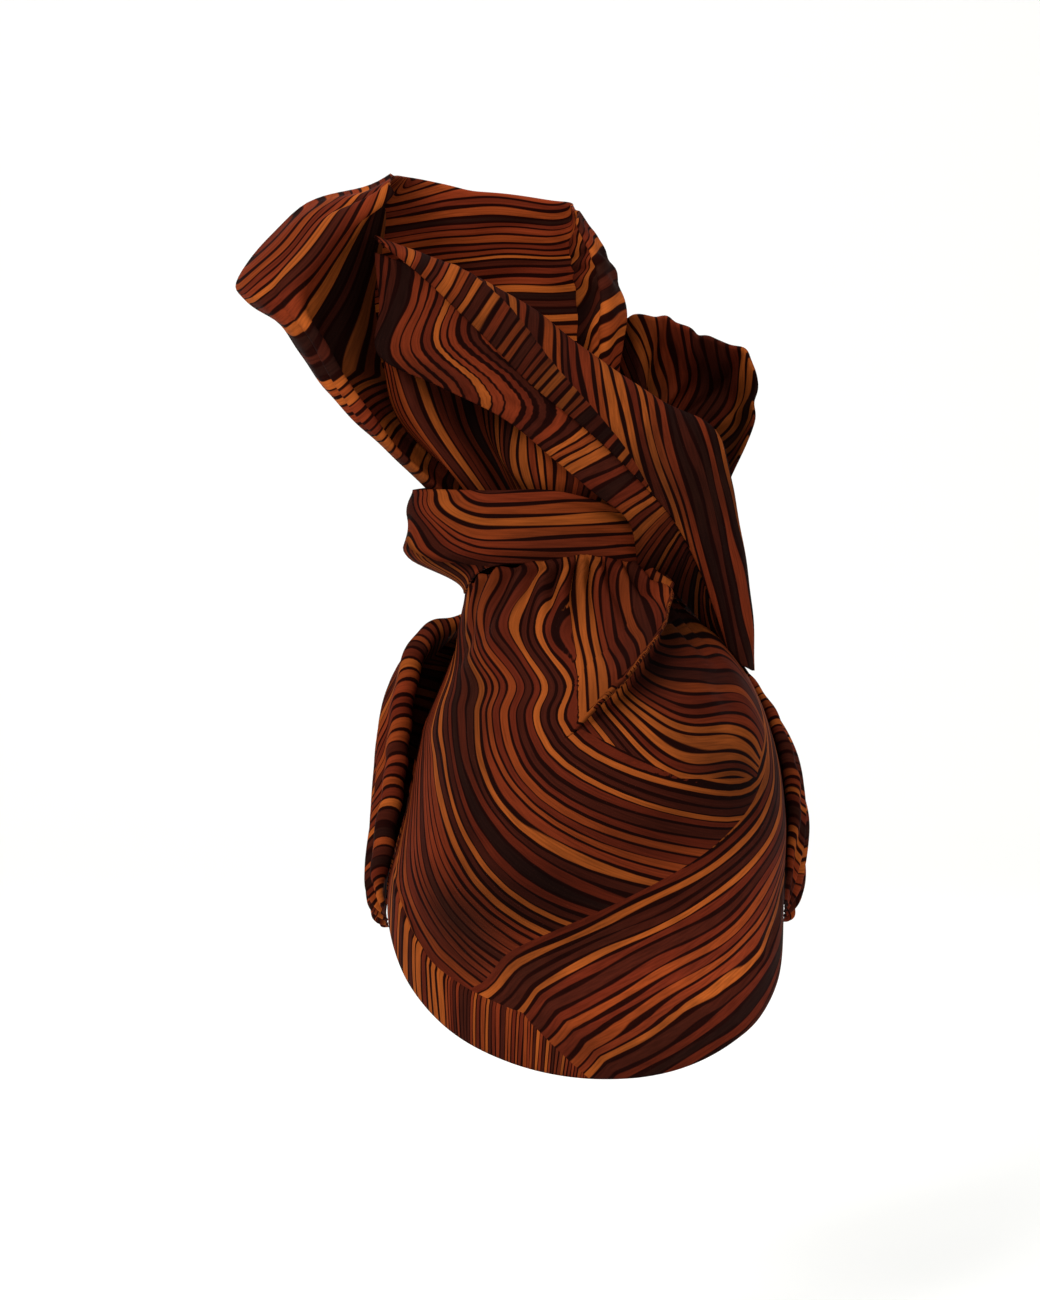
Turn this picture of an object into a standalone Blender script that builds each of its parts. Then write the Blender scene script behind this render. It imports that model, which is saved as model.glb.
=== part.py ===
"""Turban headwrap: a gathered back cap, a folded front band and a tall bow bound by a flat loop.

Metres, +Z up. The origin is the crown of the wearer's head, the face looks along +Y and +X is the
wearer's right as seen from behind. Every cloth is a smooth sheet, thickened to a wall.
"""

import math

import bmesh
import bpy
import numpy as np

MM = 0.001

# Cloth
WALL = 1.6 * MM
GAP = 0.4 * MM
LAID = WALL + 1.5 * GAP
WELD = 0.01 * MM

# Head form that the wrap sits on
HEAD_WIDTH = 152 * MM
HEAD_LENGTH = 192 * MM
HEAD_CENTRE_DROP = 78 * MM

# Back cap
CAP_WIDTH = 180 * MM
CAP_DEPTH = 108 * MM
CAP_HEIGHT = 230 * MM
CAP_NAPE_DROP = 178 * MM
HEM_HEIGHT = 28 * MM
HEM_STEP = 0.9 * MM
HEM_FADE = 0.3
LAPEL_STEP = 10 * MM
GATHER_DEPTH = 3.2 * MM
GATHER_COUNT = 8
GATHER_FROM = 0.62
GATHER_ANGLE = 50
GATHER_ANGLE_FADE = 25
CAP_STEPS_ROUND = 40
CAP_STEPS_UP = 20

# Front band
BAND_FOLD_RADIUS = 4.5 * MM
BAND_LEG = 16 * MM
BAND_PLEAT_DEPTH = 2.6 * MM
BAND_PLEATS = 3
BAND_PLEAT_SLANT = 1.6
BAND_PLEAT_REAR_FADE = 0.35
BAND_PLEAT_HEM_FADE = 0.15
BAND_FOLD_TURNS = (150, 90, 35)
BAND_FOOT = 0.35
BAND_LEAST_ROOM = 0.8
BAND_STEPS_ROUND = 40
BAND_STEPS_FORWARD = 9

# Knot: the flat loop and the bundle in it
KNOT_WIDTH = 140 * MM
KNOT_DEPTH = 72 * MM
KNOT_HEIGHT = 52 * MM
KNOT_LEFT = 21 * MM
KNOT_FORWARD = 4 * MM
KNOT_BASE = 31 * MM
KNOT_SEGMENTS = 36
KNOT_BACK_TUCK = 0.93
KNOT_TURNED_EDGE = 1.2 * MM
KNOT_FULL_AT = 0.45
KNOT_TOP_DRAW = 0.06
KNOT_TOP_FROM = 0.75
KNOT_TURNED_TO = 0.30
KNOT_STEPS_UP = 7

# Bow
BOW_SPREAD = 240 * MM
BOW_DEPTH = 100 * MM
BOW_RISE = 144 * MM
SASH_TURN = 12 * MM
SEAT_SPAN = 0.80

# Colours of the printed cotton, as plain averages
COTTON = (0.29, 0.085, 0.022, 1.0)
COTTON_DARK = (0.20, 0.058, 0.020, 1.0)
COTTON_ROUGHNESS = 0.85

# Share over which a turned edge or a fold's end fades out
EDGE_FADE = 0.10

PARTS = "turban_headwrap"
HALF_TURN = 180.0
TINY = 1e-6


def follow(stations, values, at):
    """Read a smooth curve through values, one row a station, at the places given."""
    stations = np.asarray(stations, dtype=float)
    values = np.asarray(values, dtype=float)
    flat = values.reshape(len(stations), -1)
    slopes = np.gradient(flat, stations, axis=0)
    at = np.clip(np.asarray(at, dtype=float), stations[0], stations[-1])
    place = np.clip(np.searchsorted(stations, at, side="right") - 1, 0, len(stations) - 2)
    width = (stations[place + 1] - stations[place])[..., None]
    t = (at[..., None] - stations[place][..., None]) / width
    low = (1 + 2 * t) * (1 - t) ** 2 * flat[place] + t * (1 - t) ** 2 * width * slopes[place]
    high = t * t * (3 - 2 * t) * flat[place + 1] - t * t * (1 - t) * width * slopes[place + 1]
    return (low + high).reshape(at.shape + values.shape[1:])


def column(table, which, at):
    """Read one column of a table whose first column is the station."""
    stations = [row[0] for row in table]
    values = [row[which] for row in table]
    return follow(stations, values, at)


def ease(value):
    """Rise smoothly from 0 to 1 while the value goes from 0 to 1."""
    value = np.clip(value, 0.0, 1.0)
    return value * value * (3 - 2 * value)


def fill_net(net, along, across):
    """Fill a smooth grid, along by across points, through a net of control points."""
    net = np.asarray(net, dtype=float)
    rows = np.arange(net.shape[0])
    columns = np.arange(net.shape[1])
    lines = follow(rows, net, np.linspace(0, rows[-1], along))
    crossed = follow(columns, lines.transpose(1, 0, 2), np.linspace(0, columns[-1], across))
    return crossed.transpose(1, 0, 2)


def grid_normals(grid):
    """Unit normals of a grid of points."""
    along = np.gradient(grid, axis=0)
    across = np.gradient(grid, axis=1)
    normals = np.cross(across, along)
    return normals / np.maximum(np.linalg.norm(normals, axis=2, keepdims=True), TINY ** 2)


def ripple(grid, depth, waves, fade):
    """Move a grid along its normals in soft pleats that run across it."""
    turns = np.linspace(0, 2 * math.pi * waves, grid.shape[0])[:, None]
    return grid + grid_normals(grid) * (depth * np.sin(turns) * fade)[..., None]


def cotton(name, colour):
    """Make the plain material of a piece of printed cotton."""
    material = bpy.data.materials.new(name)
    material.use_nodes = True
    shader = material.node_tree.nodes["Principled BSDF"]
    shader.inputs["Base Color"].default_value = colour
    shader.inputs["Roughness"].default_value = COTTON_ROUGHNESS
    shader.inputs["Metallic"].default_value = 0.0
    material.diffuse_color = colour
    return material


def finish(name, mesh, material, parts):
    """Link a mesh as a named object with its material and smooth shading."""
    mesh.materials.append(material)
    mesh.shade_smooth()
    piece = bpy.data.objects.new(name, mesh)
    parts.objects.link(piece)
    return piece


def add_cloth(name, grid, material, parts, closed=False):
    """Make a cloth: a primitive grid laid on the points, thickened to a wall."""
    along, across = grid.shape[:2]
    build = bmesh.new()
    bmesh.ops.create_grid(build, x_segments=across - 1, y_segments=along - 1, size=1.0)
    for vertex, place in zip(build.verts, grid.reshape(-1, 3)):
        vertex.co = place
    if closed:
        bmesh.ops.remove_doubles(build, verts=build.verts, dist=WELD)
    mesh = bpy.data.meshes.new(name)
    build.to_mesh(mesh)
    build.free()
    piece = finish(name, mesh, material, parts)
    wall = piece.modifiers.new("wall", "SOLIDIFY")
    wall.thickness = WALL
    wall.offset = 0.0
    return piece


# Cap sections from the nape to the gathered top.
# level, middle across, half width (shares of CAP_WIDTH), middle forward, depth back, depth forward
# (shares of CAP_DEPTH)
CAP_SECTIONS = (
    (0.00, -0.030, 0.490, 0.00, 0.80, 0.90),
    (0.17, -0.038, 0.515, 0.00, 0.92, 0.92),
    (0.32, -0.036, 0.515, 0.00, 0.98, 0.94),
    (0.47, -0.010, 0.492, 0.00, 1.00, 0.94),
    (0.62, -0.006, 0.456, 0.00, 0.95, 0.88),
    (0.77, -0.012, 0.376, -0.02, 0.78, 0.62),
    (0.86, -0.044, 0.305, -0.08, 0.54, 0.36),
    (0.93, -0.058, 0.235, -0.18, 0.30, 0.20),
    (1.00, -0.050, 0.180, -0.24, 0.10, 0.10),
)

# Height of the hem round the cap: angle from the back's middle in degrees (left is negative), and
# how far it has risen from the nape (share of CAP_HEIGHT)
CAP_HEM = (
    (-115, 0.440),
    (-90, 0.330),
    (-75, 0.245),
    (-60, 0.155),
    (-45, 0.085),
    (-25, 0.030),
    (0, 0.000),
    (25, 0.010),
    (45, 0.050),
    (60, 0.095),
    (75, 0.180),
    (90, 0.330),
    (115, 0.440),
)

# How far round the cap's cloth reaches at a level, as a share of its reach at the hem
CAP_REACH_ANGLE = 112
CAP_REACH = (
    (0.0, 1.00),
    (0.5, 0.97),
    (0.7, 0.86),
    (0.8, 0.80),
    (1.0, 0.70),
)

# The lapel fold's edge from the gathered top down: level, place across (share of CAP_WIDTH),
# and how proud its left side stands (share of LAPEL_STEP)
LAPEL = (
    (0.66, -0.11, 0.00),
    (0.72, -0.03, 0.35),
    (0.78, 0.05, 0.75),
    (0.84, 0.12, 1.00),
    (0.94, 0.15, 1.00),
    (1.00, 0.15, 0.10),
)
LAPEL_EDGE = 0.022
LAPEL_REACH = 0.30

# Angle from the back's middle past which the band lies over the cap, and the level from which the
# gathered top leans on the loop
BARE_ANGLE = 70
BARE_FADE = 15
LEAN_LEVEL = 0.86


def cap_section(level):
    """Middle, half width and depths of the cap at a level from the nape."""
    across = CAP_WIDTH * column(CAP_SECTIONS, 1, level)
    half = CAP_WIDTH * column(CAP_SECTIONS, 2, level)
    forward = CAP_DEPTH * column(CAP_SECTIONS, 3, level)
    back = CAP_DEPTH * column(CAP_SECTIONS, 4, level)
    front = CAP_DEPTH * column(CAP_SECTIONS, 5, level)
    return across, half, forward, back, front


def cap_point(angle, height):
    """Point of the cap's middle surface at an angle from the back and a height."""
    level = (height + CAP_NAPE_DROP) / CAP_HEIGHT
    across, half, forward, back, front = cap_section(level)
    turn = np.radians(angle)
    depth = np.where(np.cos(turn) > 0, back, front)
    return np.stack([across + half * np.sin(turn), forward - depth * np.cos(turn), height], axis=-1)


def lapel_rise(level, across):
    """How far the cloth stands proud where the lapel lies over the rest of the cap."""
    edge = CAP_WIDTH * column(LAPEL, 1, level)
    proud = LAPEL_STEP * column(LAPEL, 2, level) * (level >= LAPEL[0][0])
    inside = (edge - across) / CAP_WIDTH
    return proud * ease(inside / LAPEL_EDGE) * (1 - ease((inside - LAPEL_EDGE) / LAPEL_REACH))


# The flat loop round the foot of the bow: angle from the back's middle in degrees (left is
# negative), top, bottom (shares of KNOT_HEIGHT) and how far the bottom is drawn in (share of the
# outline)
KNOT_RIM = (
    (-180, 1.00, 0.12, 0.80),
    (-135, 1.00, 0.08, 0.70),
    (-90, 0.98, 0.05, 0.55),
    (-55, 1.00, 0.10, 0.70),
    (-28, 1.00, 0.32, 0.90),
    (0, 1.00, 0.36, KNOT_BACK_TUCK),
    (25, 0.84, 0.34, KNOT_BACK_TUCK),
    (50, 0.54, 0.22, 0.92),
    (90, 0.36, 0.00, 0.90),
    (135, 0.70, 0.06, 0.86),
    (180, 1.00, 0.12, 0.80),
)


def knot_profile(angle, climb):
    """Half width, half depth and height of the loop at an angle and a share of the way up it."""
    top = column(KNOT_RIM, 1, angle)
    bottom = column(KNOT_RIM, 2, angle)
    tuck = column(KNOT_RIM, 3, angle)
    drawn = KNOT_TOP_DRAW * ease((climb - KNOT_TOP_FROM) / (1 - KNOT_TOP_FROM))
    share = tuck + (1 - tuck) * ease(climb / KNOT_FULL_AT) - drawn
    edge = KNOT_TURNED_EDGE * (1 - ease((climb - KNOT_TURNED_TO) / EDGE_FADE))
    height = KNOT_BASE + KNOT_HEIGHT * (bottom + (top - bottom) * climb)
    return KNOT_WIDTH / 2 * share + edge, KNOT_DEPTH / 2 * share + edge, height


def knot_back(x, height):
    """Y of the loop's back at a place across and a height."""
    angle = np.degrees(np.arcsin(np.clip((x + KNOT_LEFT) / (KNOT_WIDTH / 2), -1.0, 1.0)))
    top = column(KNOT_RIM, 1, angle)
    bottom = column(KNOT_RIM, 2, angle)
    climb = np.clip(((height - KNOT_BASE) / KNOT_HEIGHT - bottom) / (top - bottom), 0.0, 1.0)
    half_width, half_depth, _ = knot_profile(angle, climb)
    reach = np.clip((x + KNOT_LEFT) / half_width, -1.0, 1.0)
    return KNOT_FORWARD - half_depth * np.sqrt(1 - reach * reach)


def build_cap(material, parts):
    """The bag over the back of the head, from its turned hem to the gathered top."""
    turn = np.linspace(-1.0, 1.0, CAP_STEPS_ROUND + 1)[:, None]
    climb = np.linspace(0.0, 1.0, CAP_STEPS_UP + 1)[None, :]
    reach = CAP_REACH_ANGLE * column(CAP_REACH, 1, climb)
    angle = turn * reach
    rise = CAP_HEIGHT * column(CAP_HEM, 1, angle)
    height = rise * (1 - climb) + CAP_HEIGHT * climb - CAP_NAPE_DROP
    grid = cap_point(angle, height)
    level = (height + CAP_NAPE_DROP) / CAP_HEIGHT
    seat = knot_back(grid[..., 0], grid[..., 2]) - LAID
    grid[..., 1] += ease((level - LEAN_LEVEL) / (1 - LEAN_LEVEL)) * (seat - grid[..., 1])
    normals = grid_normals(grid)
    outward = normals * np.sign(-normals[CAP_STEPS_ROUND // 2, CAP_STEPS_UP // 2, 1])
    above_hem = (height - (rise - CAP_NAPE_DROP)) / HEM_HEIGHT
    bare = 1 - ease((np.abs(angle) - BARE_ANGLE) / BARE_FADE)
    proud = HEM_STEP * (1 - ease((above_hem - 1) / HEM_FADE)) * bare
    beside = ease((np.abs(angle) - GATHER_ANGLE) / GATHER_ANGLE_FADE)
    below_top = 1 - ease((level - 1 + EDGE_FADE) / EDGE_FADE)
    fade = ease((level - GATHER_FROM) / (1 - GATHER_FROM)) * (1 - beside * below_top)
    proud = proud + GATHER_DEPTH * fade * (1 + np.sin(turn * math.pi * GATHER_COUNT))
    proud = proud + lapel_rise(level, grid[..., 0])
    grid = grid + outward * proud[..., None]
    return add_cloth("back_cap", grid, material, parts)


# Edges of the front band, from low on the left over the crown to low on the right.
# place, rim across (share of CAP_WIDTH), rim forward (share of CAP_DEPTH), rim level, then the same
# three for the brow hem
BAND_EDGES = (
    (0.00, -0.580, -0.13, 0.200, -0.575, -0.02, 0.172),
    (0.09, -0.598, -0.06, 0.357, -0.580, 0.12, 0.222),
    (0.18, -0.561, -0.02, 0.539, -0.560, 0.34, 0.300),
    (0.31, -0.490, 0.00, 0.826, -0.478, 0.60, 0.396),
    (0.41, -0.330, 0.06, 0.880, -0.330, 0.85, 0.490),
    (0.50, -0.056, -0.16, 0.950, -0.011, 1.00, 0.545),
    (0.59, 0.175, -0.06, 0.880, 0.222, 0.94, 0.520),
    (0.68, 0.330, 0.12, 0.795, 0.367, 0.79, 0.468),
    (0.76, 0.452, 0.10, 0.687, 0.456, 0.57, 0.392),
    (0.84, 0.520, 0.02, 0.539, 0.503, 0.34, 0.304),
    (0.92, 0.510, -0.02, 0.383, 0.512, 0.12, 0.235),
    (1.00, 0.505, -0.06, 0.226, 0.502, 0.02, 0.200),
)
BAND_SEATED_RISE = 2 * MM

# Level above which nothing rests on the cap, the levels over which that fades, and the step used to
# read the cap's slope
CAP_REST_LEVEL = 0.90
CAP_REST_FADE = 0.06
SLOPE_STEP = 0.02


def cap_slope(level):
    """How much longer a level step is along the cap's slope than across it."""
    above = cap_section(np.clip(level + SLOPE_STEP, 0.0, 1.0))[1]
    below = cap_section(np.clip(level - SLOPE_STEP, 0.0, 1.0))[1]
    return np.hypot(1.0, (above - below) / (2 * SLOPE_STEP * CAP_HEIGHT))


def clear_of_cap(points, clearance, only_push=True):
    """Bring points out to a clearance from the cap's middle surface, level by level."""
    height = (points[..., 2] + CAP_NAPE_DROP) / CAP_HEIGHT
    level = np.clip(height, 0.0, 1.0)
    across, half, forward, back, front = cap_section(level)
    side = points[..., 0] - across
    ahead = points[..., 1] - forward
    depth = np.where(ahead > 0, front, back)
    share = np.hypot(side / half, ahead / depth)
    wanted = 1.0 + clearance * cap_slope(level) / np.minimum(half, depth)
    scale = wanted / np.maximum(share, TINY)
    if only_push:
        scale = np.maximum(scale, 1.0)
    scale = 1 + (scale - 1) * (1 - ease((height - CAP_REST_LEVEL) / CAP_REST_FADE))
    moved = points.copy()
    moved[..., 0] = across + side * scale
    moved[..., 1] = forward + ahead * scale
    return moved


def cap_stand_off(points):
    """How far points stand outside the cap's middle surface."""
    level = (points[..., 2] + CAP_NAPE_DROP) / CAP_HEIGHT
    across, half, forward, back, front = cap_section(np.clip(level, 0.0, 1.0))
    ahead = points[..., 1] - forward
    depth = np.where(ahead > 0, front, back)
    share = np.hypot((points[..., 0] - across) / half, ahead / depth)
    return (share - 1.0) * np.minimum(half, depth)


def band_edge(first_column, place):
    """One edge of the front band in metres."""
    across = CAP_WIDTH * column(BAND_EDGES, first_column, place)
    forward = CAP_DEPTH * column(BAND_EDGES, first_column + 1, place)
    height = CAP_HEIGHT * column(BAND_EDGES, first_column + 2, place) - CAP_NAPE_DROP
    return np.stack([across, forward, height], axis=-1)


def head_radius(direction):
    """Radius of the head form along unit directions from its centre."""
    reach = np.array([HEAD_WIDTH / 2, HEAD_LENGTH / 2, HEAD_CENTRE_DROP])
    return 1.0 / np.linalg.norm(direction / reach, axis=-1)


def band_sheet(place, sweep):
    """The band's outer cloth, swept over the head form from its rear rim to its brow hem."""
    centre = np.array([0.0, 0.0, -HEAD_CENTRE_DROP])
    rim = band_edge(1, place)[:, None, :] - centre
    hem = band_edge(4, place)[:, None, :] - centre
    mix = rim * (1 - sweep[None, :, None]) + hem * sweep[None, :, None]
    direction = mix / np.linalg.norm(mix, axis=-1, keepdims=True)
    rim_scale = np.linalg.norm(rim, axis=-1) / head_radius(rim / np.linalg.norm(rim, axis=-1, keepdims=True))
    hem_scale = np.linalg.norm(hem, axis=-1) / head_radius(hem / np.linalg.norm(hem, axis=-1, keepdims=True))
    scale = rim_scale * (1 - sweep) + hem_scale * sweep
    return centre + direction * (head_radius(direction) * scale)[..., None]


def build_band(material, parts):
    """The cloth over the front of the head, its rear rim folded in and laid on the cap."""
    place = np.linspace(0.0, 1.0, BAND_STEPS_ROUND + 1)
    sweep = np.linspace(0.0, 1.0, BAND_STEPS_FORWARD + 1)
    outer = band_sheet(place, sweep)
    normals = grid_normals(outer)
    normals = normals * np.sign(normals[BAND_STEPS_ROUND // 2, BAND_STEPS_FORWARD // 2, 2])
    pleat = np.sin(2 * math.pi * (BAND_PLEATS * sweep[None, :] + BAND_PLEAT_SLANT * place[:, None]))
    fade = ease(sweep / BAND_PLEAT_REAR_FADE) * ease((1 - sweep) / BAND_PLEAT_HEM_FADE)
    outer = outer + normals * (BAND_PLEAT_DEPTH * pleat * fade[None, :])[..., None]
    outer = clear_of_cap(outer, LAID)
    rim = outer[:, 0]
    rearward = rim - outer[:, 1]
    rearward = rearward / np.linalg.norm(rearward, axis=-1, keepdims=True)
    up = normals[:, 0]
    rise = cap_stand_off(rim)
    seated = ease(rise / BAND_SEATED_RISE)
    room = np.clip((rise - WALL - GAP) / 2, BAND_LEAST_ROOM * WALL, BAND_FOLD_RADIUS)
    radius = (room * seated + BAND_FOLD_RADIUS * (1 - seated))[:, None]
    fold = []
    for turn in np.radians(BAND_FOLD_TURNS):
        fold.append(rim - up * radius * (1 - math.cos(turn)) + rearward * radius * math.sin(turn))
    foot = rim - up * radius * 2 - rearward * BAND_LEG * BAND_FOOT
    end = rim - up * radius * 2 - rearward * BAND_LEG
    folded = np.stack([end, foot] + fold, axis=1)
    laid = clear_of_cap(folded, LAID)
    laid[:, 0] = clear_of_cap(end, LAID, only_push=False)
    share = seated[:, None, None]
    grid = laid * share + folded * (1 - share)
    return add_cloth("front_band", np.concatenate([grid, outer], axis=1), material, parts)


# Top and bottom of the bundle by place across (share of its half width), as shares of KNOT_HEIGHT
CORE_LINES = (
    (-1.0, 0.93, 0.40),
    (0.0, 0.93, 0.45),
    (0.3, 0.84, 0.42),
    (0.6, 0.58, 0.28),
    (1.0, 0.28, 0.10),
)
CORE_ROUNDING = 2.5
CORE_RINGS = 10
ROOT_REACH = 0.6


def build_topknot_wrap(material, parts):
    """The flat loop of cloth that binds the foot of the bow."""
    angle = np.linspace(-HALF_TURN, HALF_TURN, KNOT_SEGMENTS + 1)[:, None]
    climb = np.linspace(0.0, 1.0, KNOT_STEPS_UP + 1)[None, :]
    half_width, half_depth, height = knot_profile(angle, climb)
    turn = np.radians(angle)
    across = -KNOT_LEFT + half_width * np.sin(turn)
    forward = KNOT_FORWARD - half_depth * np.cos(turn)
    grid = np.stack([across, forward, height], axis=-1)
    return add_cloth("topknot_wrap", grid, material, parts, closed=True)


def core_reach():
    """Half width and half depth of the bundle inside the loop."""
    inset = WALL / 2 + GAP
    return KNOT_WIDTH / 2 - inset, KNOT_DEPTH / 2 - inset


def core_place(across, forward, lift):
    """A point of the bundle: shares across and forward, and its lift from -1 (bottom) to 1 (top)."""
    half_width, half_depth = core_reach()
    top = column(CORE_LINES, 1, across)
    bottom = column(CORE_LINES, 2, across)
    height = KNOT_BASE + KNOT_HEIGHT * ((top + bottom) / 2 + (top - bottom) / 2 * lift)
    return np.stack([-KNOT_LEFT + half_width * across, KNOT_FORWARD + half_depth * forward, height], axis=-1)


def core_lift(radius):
    """Lift of the bundle's rounded top at a share of its radius."""
    return (1 - np.clip(radius, 0.0, 1.0) ** CORE_ROUNDING) ** (1 / CORE_ROUNDING)


def build_knot_core(material, parts):
    """The gathered cloth that the loop binds, a flat pillow from a primitive sphere."""
    build = bmesh.new()
    bmesh.ops.create_uvsphere(build, u_segments=KNOT_SEGMENTS, v_segments=CORE_RINGS, radius=1.0)
    for vertex in build.verts:
        level = vertex.co.z
        radius = math.hypot(vertex.co.x, vertex.co.y)
        stretch = radius ** (2 / CORE_ROUNDING - 1) if radius > TINY else 0.0
        lift = math.copysign(core_lift(np.float64(radius * stretch)), level) if abs(level) > TINY else 0.0
        place = core_place(np.float64(vertex.co.x * stretch), np.float64(vertex.co.y * stretch), lift)
        vertex.co = place
    mesh = bpy.data.meshes.new("knot_core")
    build.to_mesh(mesh)
    build.free()
    return finish("knot_core", mesh, material, parts)


def root(across, forward):
    """Where a piece of the bow stands on the bundle: shares of the bundle's half width and depth."""
    across = np.float64(across * SEAT_SPAN)
    forward = np.float64(forward * SEAT_SPAN)
    place = core_place(across, forward, core_lift(np.hypot(across, forward)))
    reach = ROOT_REACH * WALL / core_reach()[1]
    around = [(across + reach * side, forward + reach * ahead) for side in (-1, 0, 1) for ahead in (-1, 0, 1)]
    place[2] = max(core_place(x, y, core_lift(np.hypot(x, y)))[2] for x, y in around) + GAP
    return place


def bow(across, forward, rise):
    """A point of the bow: shares of BOW_SPREAD, BOW_DEPTH and BOW_RISE from the knot's top."""
    return np.array([
        -KNOT_LEFT + BOW_SPREAD * across,
        KNOT_FORWARD + BOW_DEPTH * forward,
        KNOT_BASE + KNOT_HEIGHT + BOW_RISE * rise,
    ])


# The ribbon of the bow, from the free edge in the left hollow round the wing and the back wall to
# the roll. name, root on the bundle, then low, high and rim points as shares of the bow
LOOP_FOLDS = (
    ("inner_edge", (-0.74, 0.28), (-0.31, 0.22, 0.25), (-0.35, 0.26, 0.55), (-0.34, 0.20, 0.82)),
    ("inner_turn", (-0.82, 0.04), (-0.35, -0.02, 0.26), (-0.42, 0.00, 0.58), (-0.33, -0.02, 0.92)),
    ("ridge", (-0.90, -0.28), (-0.39, -0.24, 0.28), (-0.51, -0.24, 0.66), (-0.32, -0.14, 0.97)),
    ("left_outline", (-0.99, 0.06), (-0.44, 0.00, 0.33), (-0.61, 0.00, 0.68), (-0.32, 0.04, 1.00)),
    ("front_left", (-0.82, 0.50), (-0.35, 0.38, 0.29), (-0.47, 0.42, 0.65), (-0.29, 0.30, 1.01)),
    ("front_middle", (-0.40, 0.90), (-0.16, 0.54, 0.32), (-0.18, 0.58, 0.67), (-0.16, 0.40, 0.98)),
    ("front_right", (0.02, 0.96), (0.01, 0.46, 0.32), (0.00, 0.44, 0.66), (0.01, 0.28, 0.93)),
    ("roll_back", (0.34, 0.76), (0.11, 0.24, 0.29), (0.12, 0.16, 0.60), (0.04, 0.12, 0.90)),
    ("roll_face", (0.30, 0.10), (0.09, -0.04, 0.30), (0.09, -0.10, 0.65), (0.04, -0.04, 0.86)),
    ("roll_inner", (0.12, 0.36), (0.04, 0.12, 0.32), (0.04, 0.10, 0.62), (0.03, 0.12, 0.80)),
)

# The cupped petal on the right, from its upper left to its lower right, with the same columns
LOBE_FOLDS = (
    ("behind_roll", (0.50, 0.74), (0.12, 0.38, 0.22), (0.11, 0.36, 0.38), (0.11, 0.32, 0.48)),
    ("beside_roll", (0.58, 0.54), (0.16, 0.24, 0.24), (0.16, 0.20, 0.42), (0.15, 0.06, 0.56)),
    ("first_fold", (0.61, 0.48), (0.18, 0.30, 0.20), (0.20, 0.30, 0.38), (0.22, 0.03, 0.54)),
    ("top", (0.66, 0.36), (0.21, 0.32, 0.19), (0.28, 0.36, 0.34), (0.30, 0.02, 0.49)),
    ("corner", (0.70, 0.22), (0.25, 0.34, 0.15), (0.35, 0.34, 0.29), (0.38, -0.02, 0.41)),
    ("side", (0.74, 0.08), (0.26, 0.30, 0.10), (0.36, 0.30, 0.19), (0.39, 0.00, 0.24)),
    ("bottom", (0.78, -0.04), (0.25, 0.22, 0.00), (0.32, 0.22, 0.02), (0.34, 0.04, 0.03)),
)

# The pleated panel between sash and wing, from left to right: root, middle and top
PANEL_FOLDS = (
    ("left_edge", (-0.66, -0.06), (-0.30, 0.02, 0.22), (-0.34, -0.02, 0.46)),
    ("left_pleat", (-0.72, -0.50), (-0.27, -0.20, 0.22), (-0.30, -0.16, 0.41)),
    ("hollow", (-0.52, -0.56), (-0.20, -0.10, 0.19), (-0.23, -0.02, 0.35)),
    ("hollow_end", (-0.36, -0.48), (-0.14, -0.04, 0.16), (-0.16, 0.04, 0.29)),
    ("second_pleat", (-0.22, -0.90), (-0.08, -0.24, 0.10), (-0.08, -0.18, 0.23)),
    ("flat", (0.02, -0.96), (0.00, -0.30, 0.07), (-0.02, -0.28, 0.16)),
    ("right_edge", (0.26, -0.88), (0.07, -0.30, 0.02), (0.07, -0.32, 0.05)),
)

# The upper strip from its tip at the top left to the tail's tip: lower edge and upper edge
SASH_UPPER_FOLDS = (
    ("tip", (-0.33, -0.16, 0.78), (-0.35, -0.10, 0.81)),
    ("tip_spread", (-0.25, -0.24, 0.67), (-0.21, -0.18, 0.72)),
    ("upper_run", (-0.15, -0.31, 0.51), (-0.07, -0.22, 0.60)),
    ("middle", (-0.05, -0.37, 0.34), (0.06, -0.26, 0.44)),
    ("lower_run", (0.05, -0.42, 0.20), (0.19, -0.28, 0.29)),
    ("shoulder", (0.14, -0.47, 0.06), (0.30, -0.28, 0.19)),
    ("bend", (0.21, -0.48, -0.06), (0.335, -0.26, 0.02)),
    ("tail_top", (0.26, -0.42, -0.20), (0.36, -0.22, -0.19)),
    ("tail", (0.30, -0.30, -0.36), (0.38, -0.16, -0.40)),
    ("tail_tip", (0.34, -0.20, -0.55), (0.385, -0.12, -0.59)),
)

# The lower strip's free lower edge, from its squared left end to where it tucks in at the right
SASH_LOWER_EDGE = (
    ("tip", (-0.35, -0.13, 0.76)),
    ("left_side", (-0.34, -0.19, 0.59)),
    ("left_corner", (-0.34, -0.24, 0.43)),
    ("upper_run", (-0.22, -0.30, 0.33)),
    ("middle", (-0.10, -0.36, 0.23)),
    ("lower_run", (-0.01, -0.41, 0.11)),
    ("right_run", (0.07, -0.45, 0.00)),
    ("tuck", (0.14, -0.42, -0.10)),
    ("tuck_end", (0.20, -0.30, -0.20)),
)

# Standing sheets of the bow: steps along, steps up, pleats and their depth
LOOP_CLOTH = (43, 8, 5, 2.0 * MM)
LOBE_CLOTH = (21, 7, 2, 1.0 * MM)
PANEL_CLOTH = (21, 5, 3, 1.0 * MM)

# Steps along the upper strip, and those that cover the lower strip's upper edge
SASH_STEPS = 32
SASH_COVER = (2, 26)
SASH_STEPS_ACROSS = 6
SASH_LOWER_STEPS = 4
SASH_TURNED_SHARE = 0.85
SASH_SWELL = 0.25


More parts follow.
